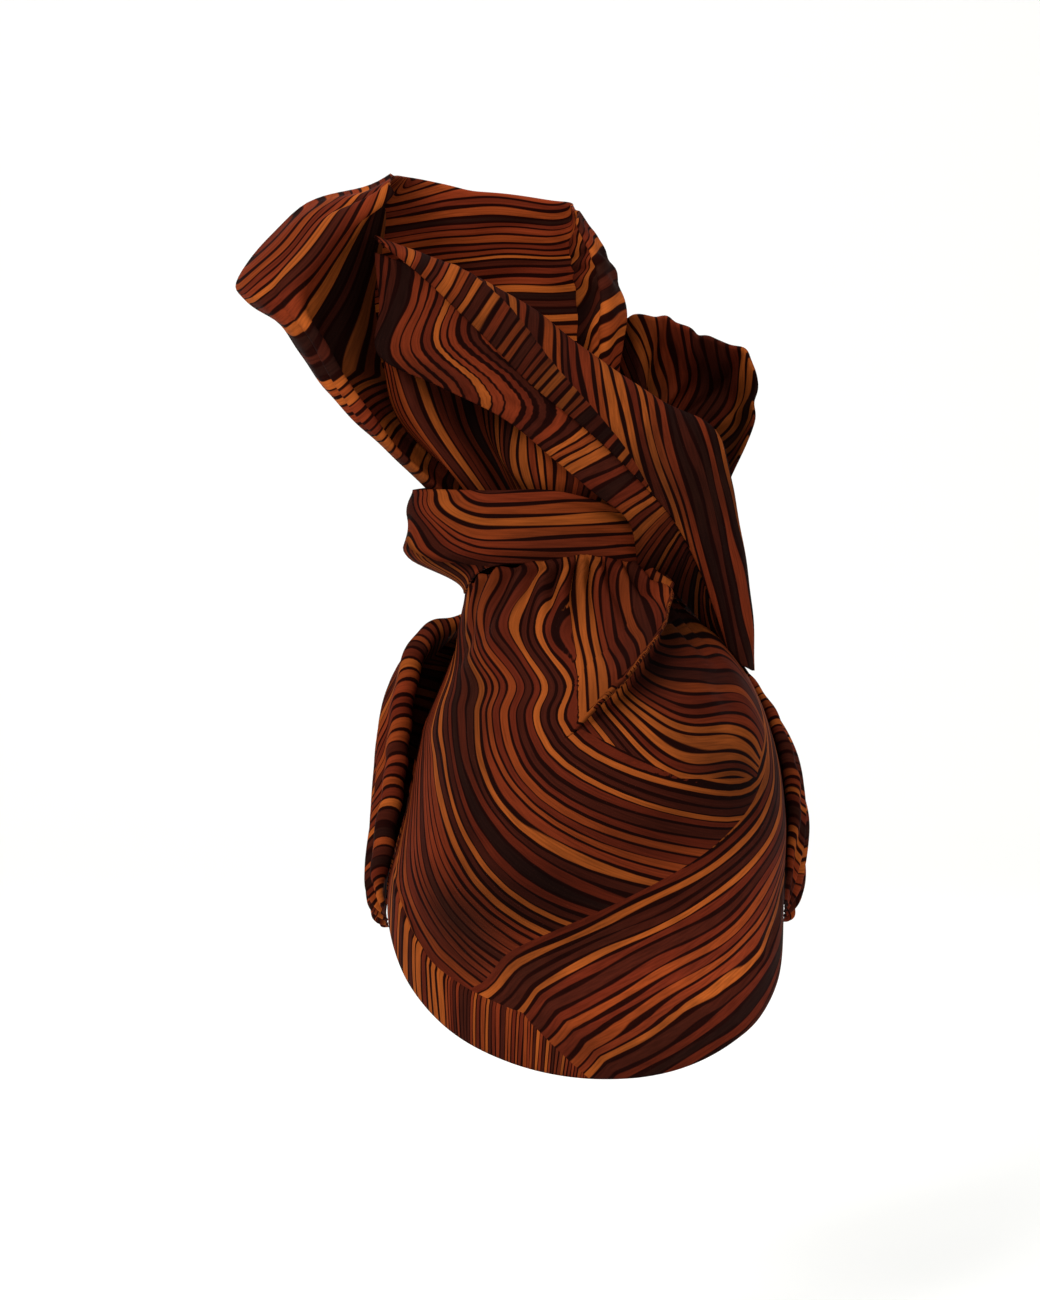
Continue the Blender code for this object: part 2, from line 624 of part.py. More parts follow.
def build_standing(name, folds, cloth, material, parts):
    """A sheet of the bow that stands on the bundle."""
    steps_along, steps_up, pleats, depth = cloth
    net = [[root(*fold[1])] + [bow(*point) for point in fold[2:]] for fold in folds]
    grid = fill_net(net, steps_along + 1, steps_up + 1)
    climb = np.linspace(0.0, 1.0, steps_up + 1)[None, :]
    fade = np.sin(math.pi * climb) * np.ones((steps_along + 1, 1))
    grid = ripple(grid, depth, pleats, fade)
    return add_cloth(name, grid, material, parts)


def sash_upper_grid():
    """Points of the upper strip, kept off the cap where the tail's tip lies on it."""
    net = []
    for _, lower, upper in SASH_UPPER_FOLDS:
        low, high = bow(*lower), bow(*upper)
        swell = (low + high) / 2 - np.array([0.0, SASH_TURN * SASH_SWELL, 0.0])
        turned = high * SASH_TURNED_SHARE + low * (1 - SASH_TURNED_SHARE) + np.array([0.0, SASH_TURN, 0.0])
        net.append([low, swell, high, turned])
    return clear_of_cap(fill_net(net, SASH_STEPS + 1, SASH_STEPS_ACROSS + 1), LAID)


def build_sash_upper(material, parts):
    """The strip that crosses the bow and falls down its right side as a tail."""
    return add_cloth("sash_upper", sash_upper_grid(), material, parts)


def build_sash_lower(material, parts):
    """The strip under it, its upper edge laid against the back of the upper strip."""
    upper = sash_upper_grid()
    normals = grid_normals(upper)
    behind = normals * np.sign(normals[SASH_STEPS // 2, 1, 1])
    under = (upper + behind * (LAID))[SASH_COVER[0]:SASH_COVER[1], :2]
    lower = follow(
        np.arange(len(SASH_LOWER_EDGE)),
        np.array([bow(*edge[1]) for edge in SASH_LOWER_EDGE]),
        np.linspace(0, len(SASH_LOWER_EDGE) - 1, len(under)),
    )
    share = np.linspace(0.0, 1.0, SASH_LOWER_STEPS + 1)[None, :, None]
    shown = lower[:, None, :] * (1 - share) + under[:, :1] * share
    return add_cloth("sash_lower", np.concatenate([shown, under[:, 1:]], axis=1), material, parts)


def main():
    """Build every piece of the headwrap."""
    for item in list(bpy.data.objects):
        bpy.data.objects.remove(item, do_unlink=True)
    parts = bpy.data.collections.new(PARTS)
    bpy.context.scene.collection.children.link(parts)
    plain = cotton("printed_cotton", COTTON)
    inner = cotton("printed_cotton_shaded", COTTON_DARK)
    build_cap(plain, parts)
    build_band(plain, parts)
    build_topknot_wrap(plain, parts)
    build_knot_core(inner, parts)
    build_standing("bow_loop", LOOP_FOLDS, LOOP_CLOTH, plain, parts)
    build_standing("right_lobe", LOBE_FOLDS, LOBE_CLOTH, plain, parts)
    build_standing("inner_panel", PANEL_FOLDS, PANEL_CLOTH, plain, parts)
    build_sash_upper(plain, parts)
    build_sash_lower(plain, parts)


main()
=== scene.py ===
"""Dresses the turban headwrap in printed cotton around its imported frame.

Metres, +Z up. The origin is the crown of the wearer's head, the face looks along +Y and the camera
sees the back. Every cloth is a smooth sheet read from short tables of shares, with its folds added.
"""

import logging
import math
from dataclasses import dataclass, field
from enum import Enum

import bmesh
import bpy
import numpy as np
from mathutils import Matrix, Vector


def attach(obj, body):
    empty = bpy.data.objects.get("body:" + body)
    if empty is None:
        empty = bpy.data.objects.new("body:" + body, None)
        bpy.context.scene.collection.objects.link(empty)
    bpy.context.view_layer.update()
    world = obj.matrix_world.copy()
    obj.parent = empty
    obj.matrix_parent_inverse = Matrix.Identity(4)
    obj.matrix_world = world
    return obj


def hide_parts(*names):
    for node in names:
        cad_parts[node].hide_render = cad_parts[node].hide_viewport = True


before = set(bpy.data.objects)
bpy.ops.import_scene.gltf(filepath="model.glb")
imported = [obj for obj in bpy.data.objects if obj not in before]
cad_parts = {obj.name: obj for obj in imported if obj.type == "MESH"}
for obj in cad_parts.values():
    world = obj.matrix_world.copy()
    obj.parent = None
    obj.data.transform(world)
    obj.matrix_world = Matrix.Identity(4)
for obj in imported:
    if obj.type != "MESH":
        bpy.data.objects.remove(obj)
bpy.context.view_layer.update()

MM = 0.001
TINY = 1e-6
SEAM_REACH = 0.01 * MM
HALF_TURN = 180.0
PRINT_MAP = "print"
# name of the points' painted light and shade, which scales the print's colour
SHADE = "shade"
LOG = logging.getLogger("turban_headwrap")


class Held(Enum):
    """How a sheet of cloth is held."""

    GATHERED = "gathered"
    FOLDED = "folded"


def follow(stations: np.ndarray, values: np.ndarray, at: np.ndarray) -> np.ndarray:
    """Read a smooth curve through values.

    Args:
        stations: Places of the rows, rising.
        values: One row of values for each station.
        at: Places to read.

    Returns:
        The values at those places.
    """
    stations = np.asarray(stations, dtype=float)
    values = np.asarray(values, dtype=float)
    flat = values.reshape(len(stations), -1)
    slopes = np.gradient(flat, stations, axis=0)
    at = np.clip(np.asarray(at, dtype=float), stations[0], stations[-1])
    place = np.clip(np.searchsorted(stations, at, side="right") - 1, 0, len(stations) - 2)
    width = (stations[place + 1] - stations[place])[..., None]
    t = (at[..., None] - stations[place][..., None]) / width
    low = (1 + 2 * t) * (1 - t) ** 2 * flat[place] + t * (1 - t) ** 2 * width * slopes[place]
    high = t * t * (3 - 2 * t) * flat[place + 1] - t * t * (1 - t) * width * slopes[place + 1]
    return (low + high).reshape(at.shape + values.shape[1:])


def column(table: tuple, which: int, at: np.ndarray) -> np.ndarray:
    """Read one column of a table whose first column is the station."""
    return follow([row[0] for row in table], [row[which] for row in table], at)


def ease(value: np.ndarray) -> np.ndarray:
    """Rise smoothly from 0 to 1 while the value goes from 0 to 1."""
    value = np.clip(value, 0.0, 1.0)
    return value * value * (3 - 2 * value)


def bell(distance: np.ndarray, width: float) -> np.ndarray:
    """Swell to 1 at no distance and fade over a width."""
    return np.exp(-((distance / width) ** 2))


def shares(steps: int) -> np.ndarray:
    """Shares from 0 to 1 in equal steps."""
    return np.linspace(0.0, 1.0, steps + 1)


def fill_net(net: list, along: int, across: int) -> np.ndarray:
    """Fill a smooth grid through a net of control points.

    Args:
        net: Rows of control points.
        along: Points along the rows' order.
        across: Points across.

    Returns:
        The grid of points.
    """
    net = np.asarray(net, dtype=float)
    rows = np.arange(net.shape[0])
    columns = np.arange(net.shape[1])
    lines = follow(rows, net, np.linspace(0, rows[-1], along))
    crossed = follow(columns, lines.transpose(1, 0, 2), np.linspace(0, columns[-1], across))
    return crossed.transpose(1, 0, 2)


def grid_normals(grid: np.ndarray) -> np.ndarray:
    """Unit normals of a grid of points."""
    normals = np.cross(np.gradient(grid, axis=1), np.gradient(grid, axis=0))
    return normals / np.maximum(np.linalg.norm(normals, axis=2, keepdims=True), TINY ** 2)


def lengths(grid: np.ndarray) -> tuple[np.ndarray, np.ndarray]:
    """Arc lengths over a grid.

    Args:
        grid: Points of a cloth.

    Returns:
        The run along the first axis and the rise along the second, in metres.
    """
    run = np.zeros(grid.shape[:2])
    rise = np.zeros(grid.shape[:2])
    run[1:] = np.cumsum(np.linalg.norm(np.diff(grid, axis=0), axis=2), axis=0)
    rise[:, 1:] = np.cumsum(np.linalg.norm(np.diff(grid, axis=1), axis=2), axis=1)
    return run, rise


def mean_run(run: np.ndarray) -> np.ndarray:
    """The mean run of each row, all over the row."""
    return np.broadcast_to(run.mean(axis=1, keepdims=True), run.shape)


def wander(first: np.ndarray, second: np.ndarray, size: float, seed: int) -> np.ndarray:
    """Soft uneven waves over a cloth.

    Args:
        first: Lengths one way.
        second: Lengths the other way.
        size: Usual length of a wave.
        seed: Start of the random draws.

    Returns:
        Values from about -1 to 1.
    """
    draws = np.random.default_rng(seed)
    total = np.zeros(np.broadcast(first, second).shape)
    waves, shortest, longest = 7, 0.7, 1.6
    for _ in range(waves):
        heading = draws.uniform(0, math.pi)
        reach = size * draws.uniform(shortest, longest)
        start = draws.uniform(0, 2 * math.pi)
        passed = first * math.cos(heading) + second * math.sin(heading)
        total += np.sin(passed * 2 * math.pi / reach + start)
    return total / math.sqrt(2 * waves)


def distance_to_line(first: np.ndarray, second: np.ndarray, line: tuple) -> np.ndarray:
    """Distance from points to a bent line.

    Args:
        first: First coordinate of the points.
        second: Second coordinate.
        line: Corners of the line.

    Returns:
        The distance from each point.
    """
    nearest = np.full(np.broadcast(first, second).shape, np.inf)
    for (x0, z0), (x1, z1) in zip(line[:-1], line[1:]):
        dx, dz = x1 - x0, z1 - z0
        share = np.clip(((first - x0) * dx + (second - z0) * dz) / (dx * dx + dz * dz), 0.0, 1.0)
        nearest = np.minimum(nearest, np.hypot(first - x0 - share * dx, second - z0 - share * dz))
    return nearest


def smooth_line(corners: np.ndarray, count: int) -> np.ndarray:
    """Round the corners of a bent line, to a number of points."""
    return follow(np.arange(len(corners)), corners, np.linspace(0, len(corners) - 1, count))


def linear(colour: str) -> tuple[float, float, float, float]:
    """Turn an sRGB hex colour to linear light with full alpha."""
    parts = [int(colour[i:i + 2], 16) / 255 for i in (1, 3, 5)]
    return tuple(c / 12.92 if c <= 0.04045 else ((c + 0.055) / 1.055) ** 2.4 for c in parts) + (1.0,)


def add_node(
    tree: bpy.types.NodeTree, kind: str, links: dict | None = None, **settings: object
) -> bpy.types.Node:
    """Add a shader node.

    Args:
        tree: Node tree of a material.
        kind: Blender's name of the node.
        links: Input name or index to an output socket or a value.
        settings: Properties of the node.

    Returns:
        The new node.
    """
    node = tree.nodes.new(kind)
    for key, value in settings.items():
        setattr(node, key, value)
    for key, value in (links or {}).items():
        socket = node.inputs[key]
        if isinstance(value, bpy.types.NodeSocket):
            tree.links.new(value, socket)
        else:
            socket.default_value = value
    return node


def add_object(name: str, data: bpy.types.ID) -> bpy.types.Object:
    """Add an object to the scene."""
    made = bpy.data.objects.new(name, data)
    bpy.context.scene.collection.objects.link(made)
    return made


def add_values(mesh: bpy.types.Mesh, name: str, values: np.ndarray) -> None:
    """Store one number for each point of a mesh."""
    layer = mesh.attributes.new(name, "FLOAT", "POINT")
    layer.data.foreach_set("value", values.reshape(-1).astype(np.float32))


@dataclass(frozen=True)
class PrintedCotton:
    """Plain-woven cotton, wax printed with wavy wood-grain stripes.

    It gives the eye warm orange and brown bands between thin dark lines, on a dry, matt cloth
    whose weave only shows close up.
    """

    name: str = "printed_cotton_poplin"
    pitch: float = 4.5 * MM
    offset: float = 0.0
    wave: float = 0.65
    grain: float = 0.38
    # half width of the dark lines in stripes, how far it wanders, how soft their edge is
    line: float = 0.20
    line_wander: float = 0.34
    line_blur: float = 0.09
    bands: tuple = (
        (0.00, "#8F4519"), (0.18, "#6A2711"), (0.42, "#541C0D"),
        (0.60, "#743012"), (0.76, "#38130A"), (0.94, "#1E0B07"),
    )
    outline: str = "#180402"
    patch: str = "#2A120A"
    patch_strength: float = -2.6
    patch_share: float = 0.05
    # painted shade: how much more of the dark patch colour covers the cloth
    painted_shade: float = 0.0
    fibre: float = 1.3
    # soft noises: size across and along the stripes, detail and seed
    broad_cloud: tuple = (60 * MM, 150 * MM, 0.0, 3.1)
    narrow_cloud: tuple = (10 * MM, 75 * MM, 0.0, 7.7)
    line_cloud: tuple = (6 * MM, 34 * MM, 0.0, 12.3)
    fibre_cloud: tuple = (0.8 * MM, 14 * MM, 3.0, 21.0)
    patch_cloud: tuple = (40 * MM, 70 * MM, 1.0, 33.0)
    thread: float = 0.35 * MM
    thread_depth: float = 0.15 * MM
    thread_strength: float = 0.25
    roughness: float = 0.78
    ior: float = 1.5
    specular: float = 0.02

    def make(self, layers: int = 1) -> bpy.types.Material:
        """Build the material.

        Args:
            layers: Print layers of the cloth; each but the first shows where its side is above 0.

        Returns:
            The new material.
        """
        material = bpy.data.materials.new(self.name)
        material.use_nodes = True
        tree = material.node_tree
        shader = tree.nodes["Principled BSDF"]

        def math_node(operation: str, *values: object) -> bpy.types.NodeSocket:
            """Add one sum and return its output."""
            links = dict(enumerate(values))
            return add_node(tree, "ShaderNodeMath", links, operation=operation).outputs[0]

        def point_value(name: str) -> bpy.types.NodeSocket:
            """Read a number that the points of the cloth carry."""
            kind = "ShaderNodeAttribute"
            return add_node(tree, kind, attribute_name=name, attribute_type="GEOMETRY").outputs[2]

        def mixed(factor: object, first: object, second: object) -> bpy.types.NodeSocket:
            """Mix two colours."""
            links = {0: factor, 6: first, 7: second}
            return add_node(tree, "ShaderNodeMix", links, data_type="RGBA").outputs[2]

        def scaled(colour: bpy.types.NodeSocket, factor: bpy.types.NodeSocket) -> bpy.types.NodeSocket:
            """Multiply a colour by a number."""
            links = {0: colour, "Scale": factor}
            return add_node(tree, "ShaderNodeVectorMath", links, operation="SCALE").outputs[0]

        place = add_node(tree, "ShaderNodeUVMap", uv_map=PRINT_MAP).outputs[0]
        for layer in range(1, layers):
            over = add_node(tree, "ShaderNodeUVMap", uv_map=f"{PRINT_MAP}_{layer}").outputs[0]
            shown = math_node("GREATER_THAN", point_value(f"side_{layer}"), 0.0)
            links = {0: shown, 4: place, 5: over}
            place = add_node(tree, "ShaderNodeMix", links, data_type="VECTOR").outputs[1]
        shift = (self.offset, self.offset * 0.7, 0.0)
        shifted = add_node(tree, "ShaderNodeMapping", {0: place, 1: shift}).outputs[0]
        parts = add_node(tree, "ShaderNodeSeparateXYZ", {0: shifted})

        def cloud(across: float, along: float, detail: float, seed: float) -> bpy.types.NodeSocket:
            """Add a soft noise with its size across and along the stripes, and return its value."""
            stretched = add_node(tree, "ShaderNodeMapping", {
                0: shifted, 1: (seed, seed, seed), 3: (1 / across, 1 / along, 1.0)}).outputs[0]
            links = {"Vector": stretched, "Scale": 1.0, "Detail": detail}
            return math_node("SUBTRACT", add_node(tree, "ShaderNodeTexNoise", links).outputs[0], 0.5)

        broad = math_node("MULTIPLY", cloud(*self.broad_cloud), self.wave * 4)
        narrow = math_node("MULTIPLY", cloud(*self.narrow_cloud), self.grain * 4)
        stripes = math_node("DIVIDE", parts.outputs[0], self.pitch)
        count = math_node("ADD", math_node("ADD", stripes, broad), narrow)
        cell = math_node("FLOOR", count)
        inside = math_node("FRACT", count)
        draw = add_node(tree, "ShaderNodeTexWhiteNoise", {"W": cell}, noise_dimensions="1D").outputs[0]
        ramp = add_node(tree, "ShaderNodeValToRGB", {0: draw})
        ramp.color_ramp.interpolation = "CONSTANT"
        stops = ramp.color_ramp.elements
        for number, (stop, colour) in enumerate(self.bands):
            element = stops[number] if number < 2 else stops.new(stop)
            element.position = stop
            element.color = linear(colour)
        from_middle = math_node("ABSOLUTE", math_node("SUBTRACT", inside, 0.5))
        wander_width = math_node("MULTIPLY", cloud(*self.line_cloud), self.line_wander)
        edge = math_node("SUBTRACT", 0.5, math_node("ADD", wander_width, self.line))
        links = {0: from_middle, 1: edge, 2: math_node("ADD", edge, self.line_blur)}
        lined = add_node(tree, "ShaderNodeMapRange", links, interpolation_type="SMOOTHSTEP").outputs[0]
        fibre = math_node("ADD", math_node("MULTIPLY", cloud(*self.fibre_cloud), self.fibre), 1.0)
        blotch = math_node("MULTIPLY", cloud(*self.patch_cloud), self.patch_strength)
        # the print's dark patches, with the painted shade added on
        dimmed = math_node("ADD", math_node("ADD", blotch, self.patch_share), self.painted_shade)
        clamped = add_node(tree, "ShaderNodeClamp", {0: dimmed}).outputs[0]
        inked = mixed(lined, mixed(clamped, ramp.outputs[0], linear(self.patch)), linear(self.outline))
        # painted light and shade: each point's stored value scales the print's colour
        final = scaled(scaled(inked, fibre), point_value(SHADE))
        tree.links.new(final, shader.inputs["Base Color"])
        links = {"Vector": shifted, "Scale": 1 / (self.thread * 3), "Detail": 2.0}
        weave = add_node(tree, "ShaderNodeTexNoise", links).outputs[0]
        bump = add_node(tree, "ShaderNodeBump", {
            "Height": weave, "Strength": self.thread_strength, "Distance": self.thread_depth})
        tree.links.new(bump.outputs[0], shader.inputs["Normal"])
        shader.inputs["Roughness"].default_value = self.roughness
        shader.inputs["IOR"].default_value = self.ior
        shader.inputs["Specular IOR Level"].default_value = self.specular
        return material


@dataclass
class Sheet:
    """A cloth laid on a grid of points, with where its print runs.

    The print's layers are pairs of lengths across and along its stripes. Each layer after the first
    shows where its side, a length, is above 0.
    """

    name: str
    grid: np.ndarray
    layers: list
    sides: list = field(default_factory=list)
    # painted light and shade of each point; 1 all over when none is given
    shade: np.ndarray | None = None
    closed: bool = False
    wall: float = 1.3 * MM

    def make(self, finish: PrintedCotton) -> bpy.types.Object:
        """Build the cloth as an object.

        Args:
            finish: What it is made of.

        Returns:
            The new object, at the origin.
        """
        along, across = self.grid.shape[:2]
        index = np.arange(along * across).reshape(along, across)
        faces = np.stack([index[:-1, :-1], index[:-1, 1:], index[1:, 1:], index[1:, :-1]], axis=-1)
        mesh = bpy.data.meshes.new(self.name)
        mesh.from_pydata(self.grid.reshape(-1, 3).tolist(), [], faces.reshape(-1, 4).tolist())
        for number, layer in enumerate(self.layers):
            places = np.stack([np.broadcast_to(part, index.shape) for part in layer], axis=-1)
            prints = mesh.uv_layers.new(name=f"{PRINT_MAP}_{number}" if number else PRINT_MAP)
            prints.data.foreach_set("uv", places.reshape(-1, 2)[faces.reshape(-1)].reshape(-1))
        for number, side in enumerate(self.sides, start=1):
            add_values(mesh, f"side_{number}", np.broadcast_to(side, index.shape))
        add_values(mesh, SHADE, np.ones(index.shape) if self.shade is None else self.shade)
        if self.closed:
            build = bmesh.new()
            build.from_mesh(mesh)
            bmesh.ops.remove_doubles(build, verts=build.verts, dist=SEAM_REACH)
            build.to_mesh(mesh)
            build.free()
        mesh.materials.append(finish.make(len(self.layers)))
        mesh.shade_smooth()
        piece = add_object(self.name, mesh)
        wall = piece.modifiers.new("wall", "SOLIDIFY")
        wall.thickness = self.wall
        wall.offset = 0.0
        return piece


def declare(piece: bpy.types.Object, node: str, grid: np.ndarray) -> None:
    """Attach a cloth to the root and hide the solid that it replaces.

    Args:
        piece: The cloth.
        node: Solid that it stands for.
        grid: Its points; the lengths worked out from them are not used.
    """
    run, rise = lengths(grid)
    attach(piece, "root")
    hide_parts(node)


@dataclass
class CapForm:
    """The shape that the back cap takes over the head."""

    width: float = 180 * MM
    depth: float = 108 * MM
    height: float = 230 * MM
    nape_drop: float = 178 * MM
    rest_level: float = 0.90
    rest_fade: float = 0.06
    slope_step: float = 0.02
    # level, middle across, half width, middle forward, depth back, depth forward
    sections: tuple = (
        (0.00, -0.030, 0.490, 0.00, 0.80, 0.90),
        (0.17, -0.038, 0.515, 0.00, 0.92, 0.92),
        (0.32, -0.036, 0.515, 0.00, 0.98, 0.94),
        (0.47, -0.010, 0.492, 0.00, 1.00, 0.94),
        (0.62, -0.006, 0.456, 0.00, 0.95, 0.88),
        (0.77, -0.012, 0.376, -0.02, 0.78, 0.62),
        (0.86, -0.044, 0.305, -0.08, 0.54, 0.36),
        (0.93, -0.058, 0.235, -0.18, 0.30, 0.20),
        (1.00, -0.050, 0.180, -0.24, 0.10, 0.10),
    )

    def section(self, level: np.ndarray) -> tuple:
        """Middle, half width and depths of the cap at a level from the nape."""
        across = self.width * column(self.sections, 1, level)
        half = self.width * column(self.sections, 2, level)
        forward, back, front = (self.depth * column(self.sections, i, level) for i in (3, 4, 5))
        return across, half, forward, back, front

    def point(self, angle: np.ndarray, height: np.ndarray) -> np.ndarray:
        """Point of the cap at an angle from the back's middle and a height."""
        across, half, forward, back, front = self.section((height + self.nape_drop) / self.height)
        turn = np.radians(angle)
        depth = np.where(np.cos(turn) > 0, back, front)
        return np.stack([across + half * np.sin(turn), forward - depth * np.cos(turn), height], axis=-1)

    def slope(self, level: np.ndarray) -> np.ndarray:
        """How much longer a level step is along the cap's slope than across it."""
        above = self.section(np.clip(level + self.slope_step, 0.0, 1.0))[1]
        below = self.section(np.clip(level - self.slope_step, 0.0, 1.0))[1]
        return np.hypot(1.0, (above - below) / (2 * self.slope_step * self.height))

    def clear(self, points: np.ndarray, clearance: float, only_push: bool = True) -> np.ndarray:
        """Bring points out to a clearance from the cap, level by level.

        Args:
            points: Points near the cap.
            clearance: Distance kept from its middle surface.
            only_push: Leave points that are further out.

        Returns:
            The moved points.
        """
        height = (points[..., 2] + self.nape_drop) / self.height
        across, forward, least, share = self.locate(points)
        room = clearance * self.slope(np.clip(height, 0.0, 1.0))
        scale = (1.0 + room / least) / np.maximum(share, TINY)
        if only_push:
            scale = np.maximum(scale, 1.0)
        scale = 1 + (scale - 1) * (1 - ease((height - self.rest_level) / self.rest_fade))
        moved = points.copy()
        moved[..., 0] = across + (points[..., 0] - across) * scale
        moved[..., 1] = forward + (points[..., 1] - forward) * scale
        return moved

    def locate(self, points: np.ndarray) -> tuple:
        """Find where points lie round the cap.

        Args:
            points: Points near the cap.

        Returns:
            The cap's middle across and forward at their level, its lesser half axis towards them,
            and how far out they are, where 1 is on the cap.
        """
        level = np.clip((points[..., 2] + self.nape_drop) / self.height, 0.0, 1.0)
        across, half, forward, back, front = self.section(level)
        ahead = points[..., 1] - forward
        depth = np.where(ahead > 0, front, back)
        share = np.hypot((points[..., 0] - across) / half, ahead / depth)
        return across, forward, np.minimum(half, depth), share

    def stand_off(self, points: np.ndarray) -> np.ndarray:
        """How far points stand outside the cap."""
        _, _, least, share = self.locate(points)
        return (share - 1.0) * least


@dataclass
class KnotForm:
    """The flat loop round the foot of the bow, the bundle in it and the space of the bow."""

    width: float = 140 * MM
    depth: float = 72 * MM
    height: float = 52 * MM
    left: float = 21 * MM
    forward: float = 4 * MM
    base: float = 31 * MM
    turned_edge: float = 1.2 * MM
    spread: float = 240 * MM
    bow_depth: float = 100 * MM
    rise: float = 144 * MM
    seat_span: float = 0.80
    inset: float = 1.2 * MM
    rounding: float = 2.5
    # shares of the way up the loop: where its foot is drawn in to, its turned edge ends, its lip starts
    drawn_to: float = 0.45
    edge_to: float = 0.30
    lip_from: float = 0.75
    lip: float = 0.06
    seat_lift: float = 1.2 * MM
    # angle, top, bottom, how far the bottom is drawn in
    rim: tuple = (
        (-180, 1.00, 0.12, 0.80),
        (-135, 1.00, 0.08, 0.70),
        (-90, 0.98, 0.05, 0.55),
        (-55, 1.00, 0.10, 0.70),
        (-28, 1.00, 0.32, 0.90),
        (0, 1.00, 0.36, 0.93),
        (25, 0.84, 0.34, 0.93),
        (50, 0.54, 0.22, 0.92),
        (90, 0.36, 0.00, 0.90),
        (135, 0.70, 0.06, 0.86),
        (180, 1.00, 0.12, 0.80),
    )
    # place across, top, bottom of the bundle
    core_lines: tuple = (
        (-1.0, 0.93, 0.40),
        (0.0, 0.93, 0.45),
        (0.3, 0.84, 0.42),
        (0.6, 0.58, 0.28),
        (1.0, 0.28, 0.10),
    )

    def profile(self, angle: np.ndarray, climb: np.ndarray) -> tuple:
        """Half width, half depth and height of the loop at an angle and a share of the way up it."""
        top, bottom, tuck = (column(self.rim, i, angle) for i in (1, 2, 3))
        lip = self.lip * ease((climb - self.lip_from) / (1 - self.lip_from))
        share = tuck + (1 - tuck) * ease(climb / self.drawn_to) - lip
        edge = self.turned_edge * (1 - ease((climb - self.edge_to) / 0.10))
        height = self.base + self.height * (bottom + (top - bottom) * climb)
        return self.width / 2 * share + edge, self.depth / 2 * share + edge, height

    def back(self, x: np.ndarray, height: np.ndarray) -> np.ndarray:
        """Y of the loop's back at a place across and a height."""
        angle = np.degrees(np.arcsin(np.clip((x + self.left) / (self.width / 2), -1.0, 1.0)))
        top, bottom = column(self.rim, 1, angle), column(self.rim, 2, angle)
        climb = np.clip(((height - self.base) / self.height - bottom) / (top - bottom), 0.0, 1.0)
        half_width, half_depth, _ = self.profile(angle, climb)
        reach = np.clip((x + self.left) / half_width, -1.0, 1.0)
        return self.forward - half_depth * np.sqrt(1 - reach * reach)

    def core_place(self, across: np.ndarray, forward: np.ndarray, lift: np.ndarray) -> np.ndarray:
        """A point of the bundle: shares across and forward, and its lift from -1 to 1."""
        top, bottom = column(self.core_lines, 1, across), column(self.core_lines, 2, across)
        height = self.base + self.height * ((top + bottom) / 2 + (top - bottom) / 2 * lift)
        reach = self.width / 2 - self.inset, self.depth / 2 - self.inset
        return np.stack([-self.left + reach[0] * across, self.forward + reach[1] * forward, height], axis=-1)

    def core_lift(self, radius: np.ndarray) -> np.ndarray:
        """Lift of the bundle's rounded top at a share of its radius."""
        return (1 - np.clip(radius, 0.0, 1.0) ** self.rounding) ** (1 / self.rounding)

    def root(self, across: float, forward: float) -> np.ndarray:
        """Where a piece of the bow stands on the bundle."""
        across, forward = np.float64(across * self.seat_span), np.float64(forward * self.seat_span)
        place = self.core_place(across, forward, self.core_lift(np.hypot(across, forward)))
        place[2] += self.seat_lift
        return place

    def bow(self, across: float, forward: float, rise: float) -> np.ndarray:
        """A point of the bow: shares of its spread, depth and rise from the knot's top."""
        return np.array([
            -self.left + self.spread * across,
            self.forward + self.bow_depth * forward,
            self.base + self.height + self.rise * rise,
        ])


@dataclass
class Surface:
    """A finished cloth that another one is laid on."""

    grid: np.ndarray
    outward: np.ndarray
    print_layer: tuple
    inside: np.ndarray


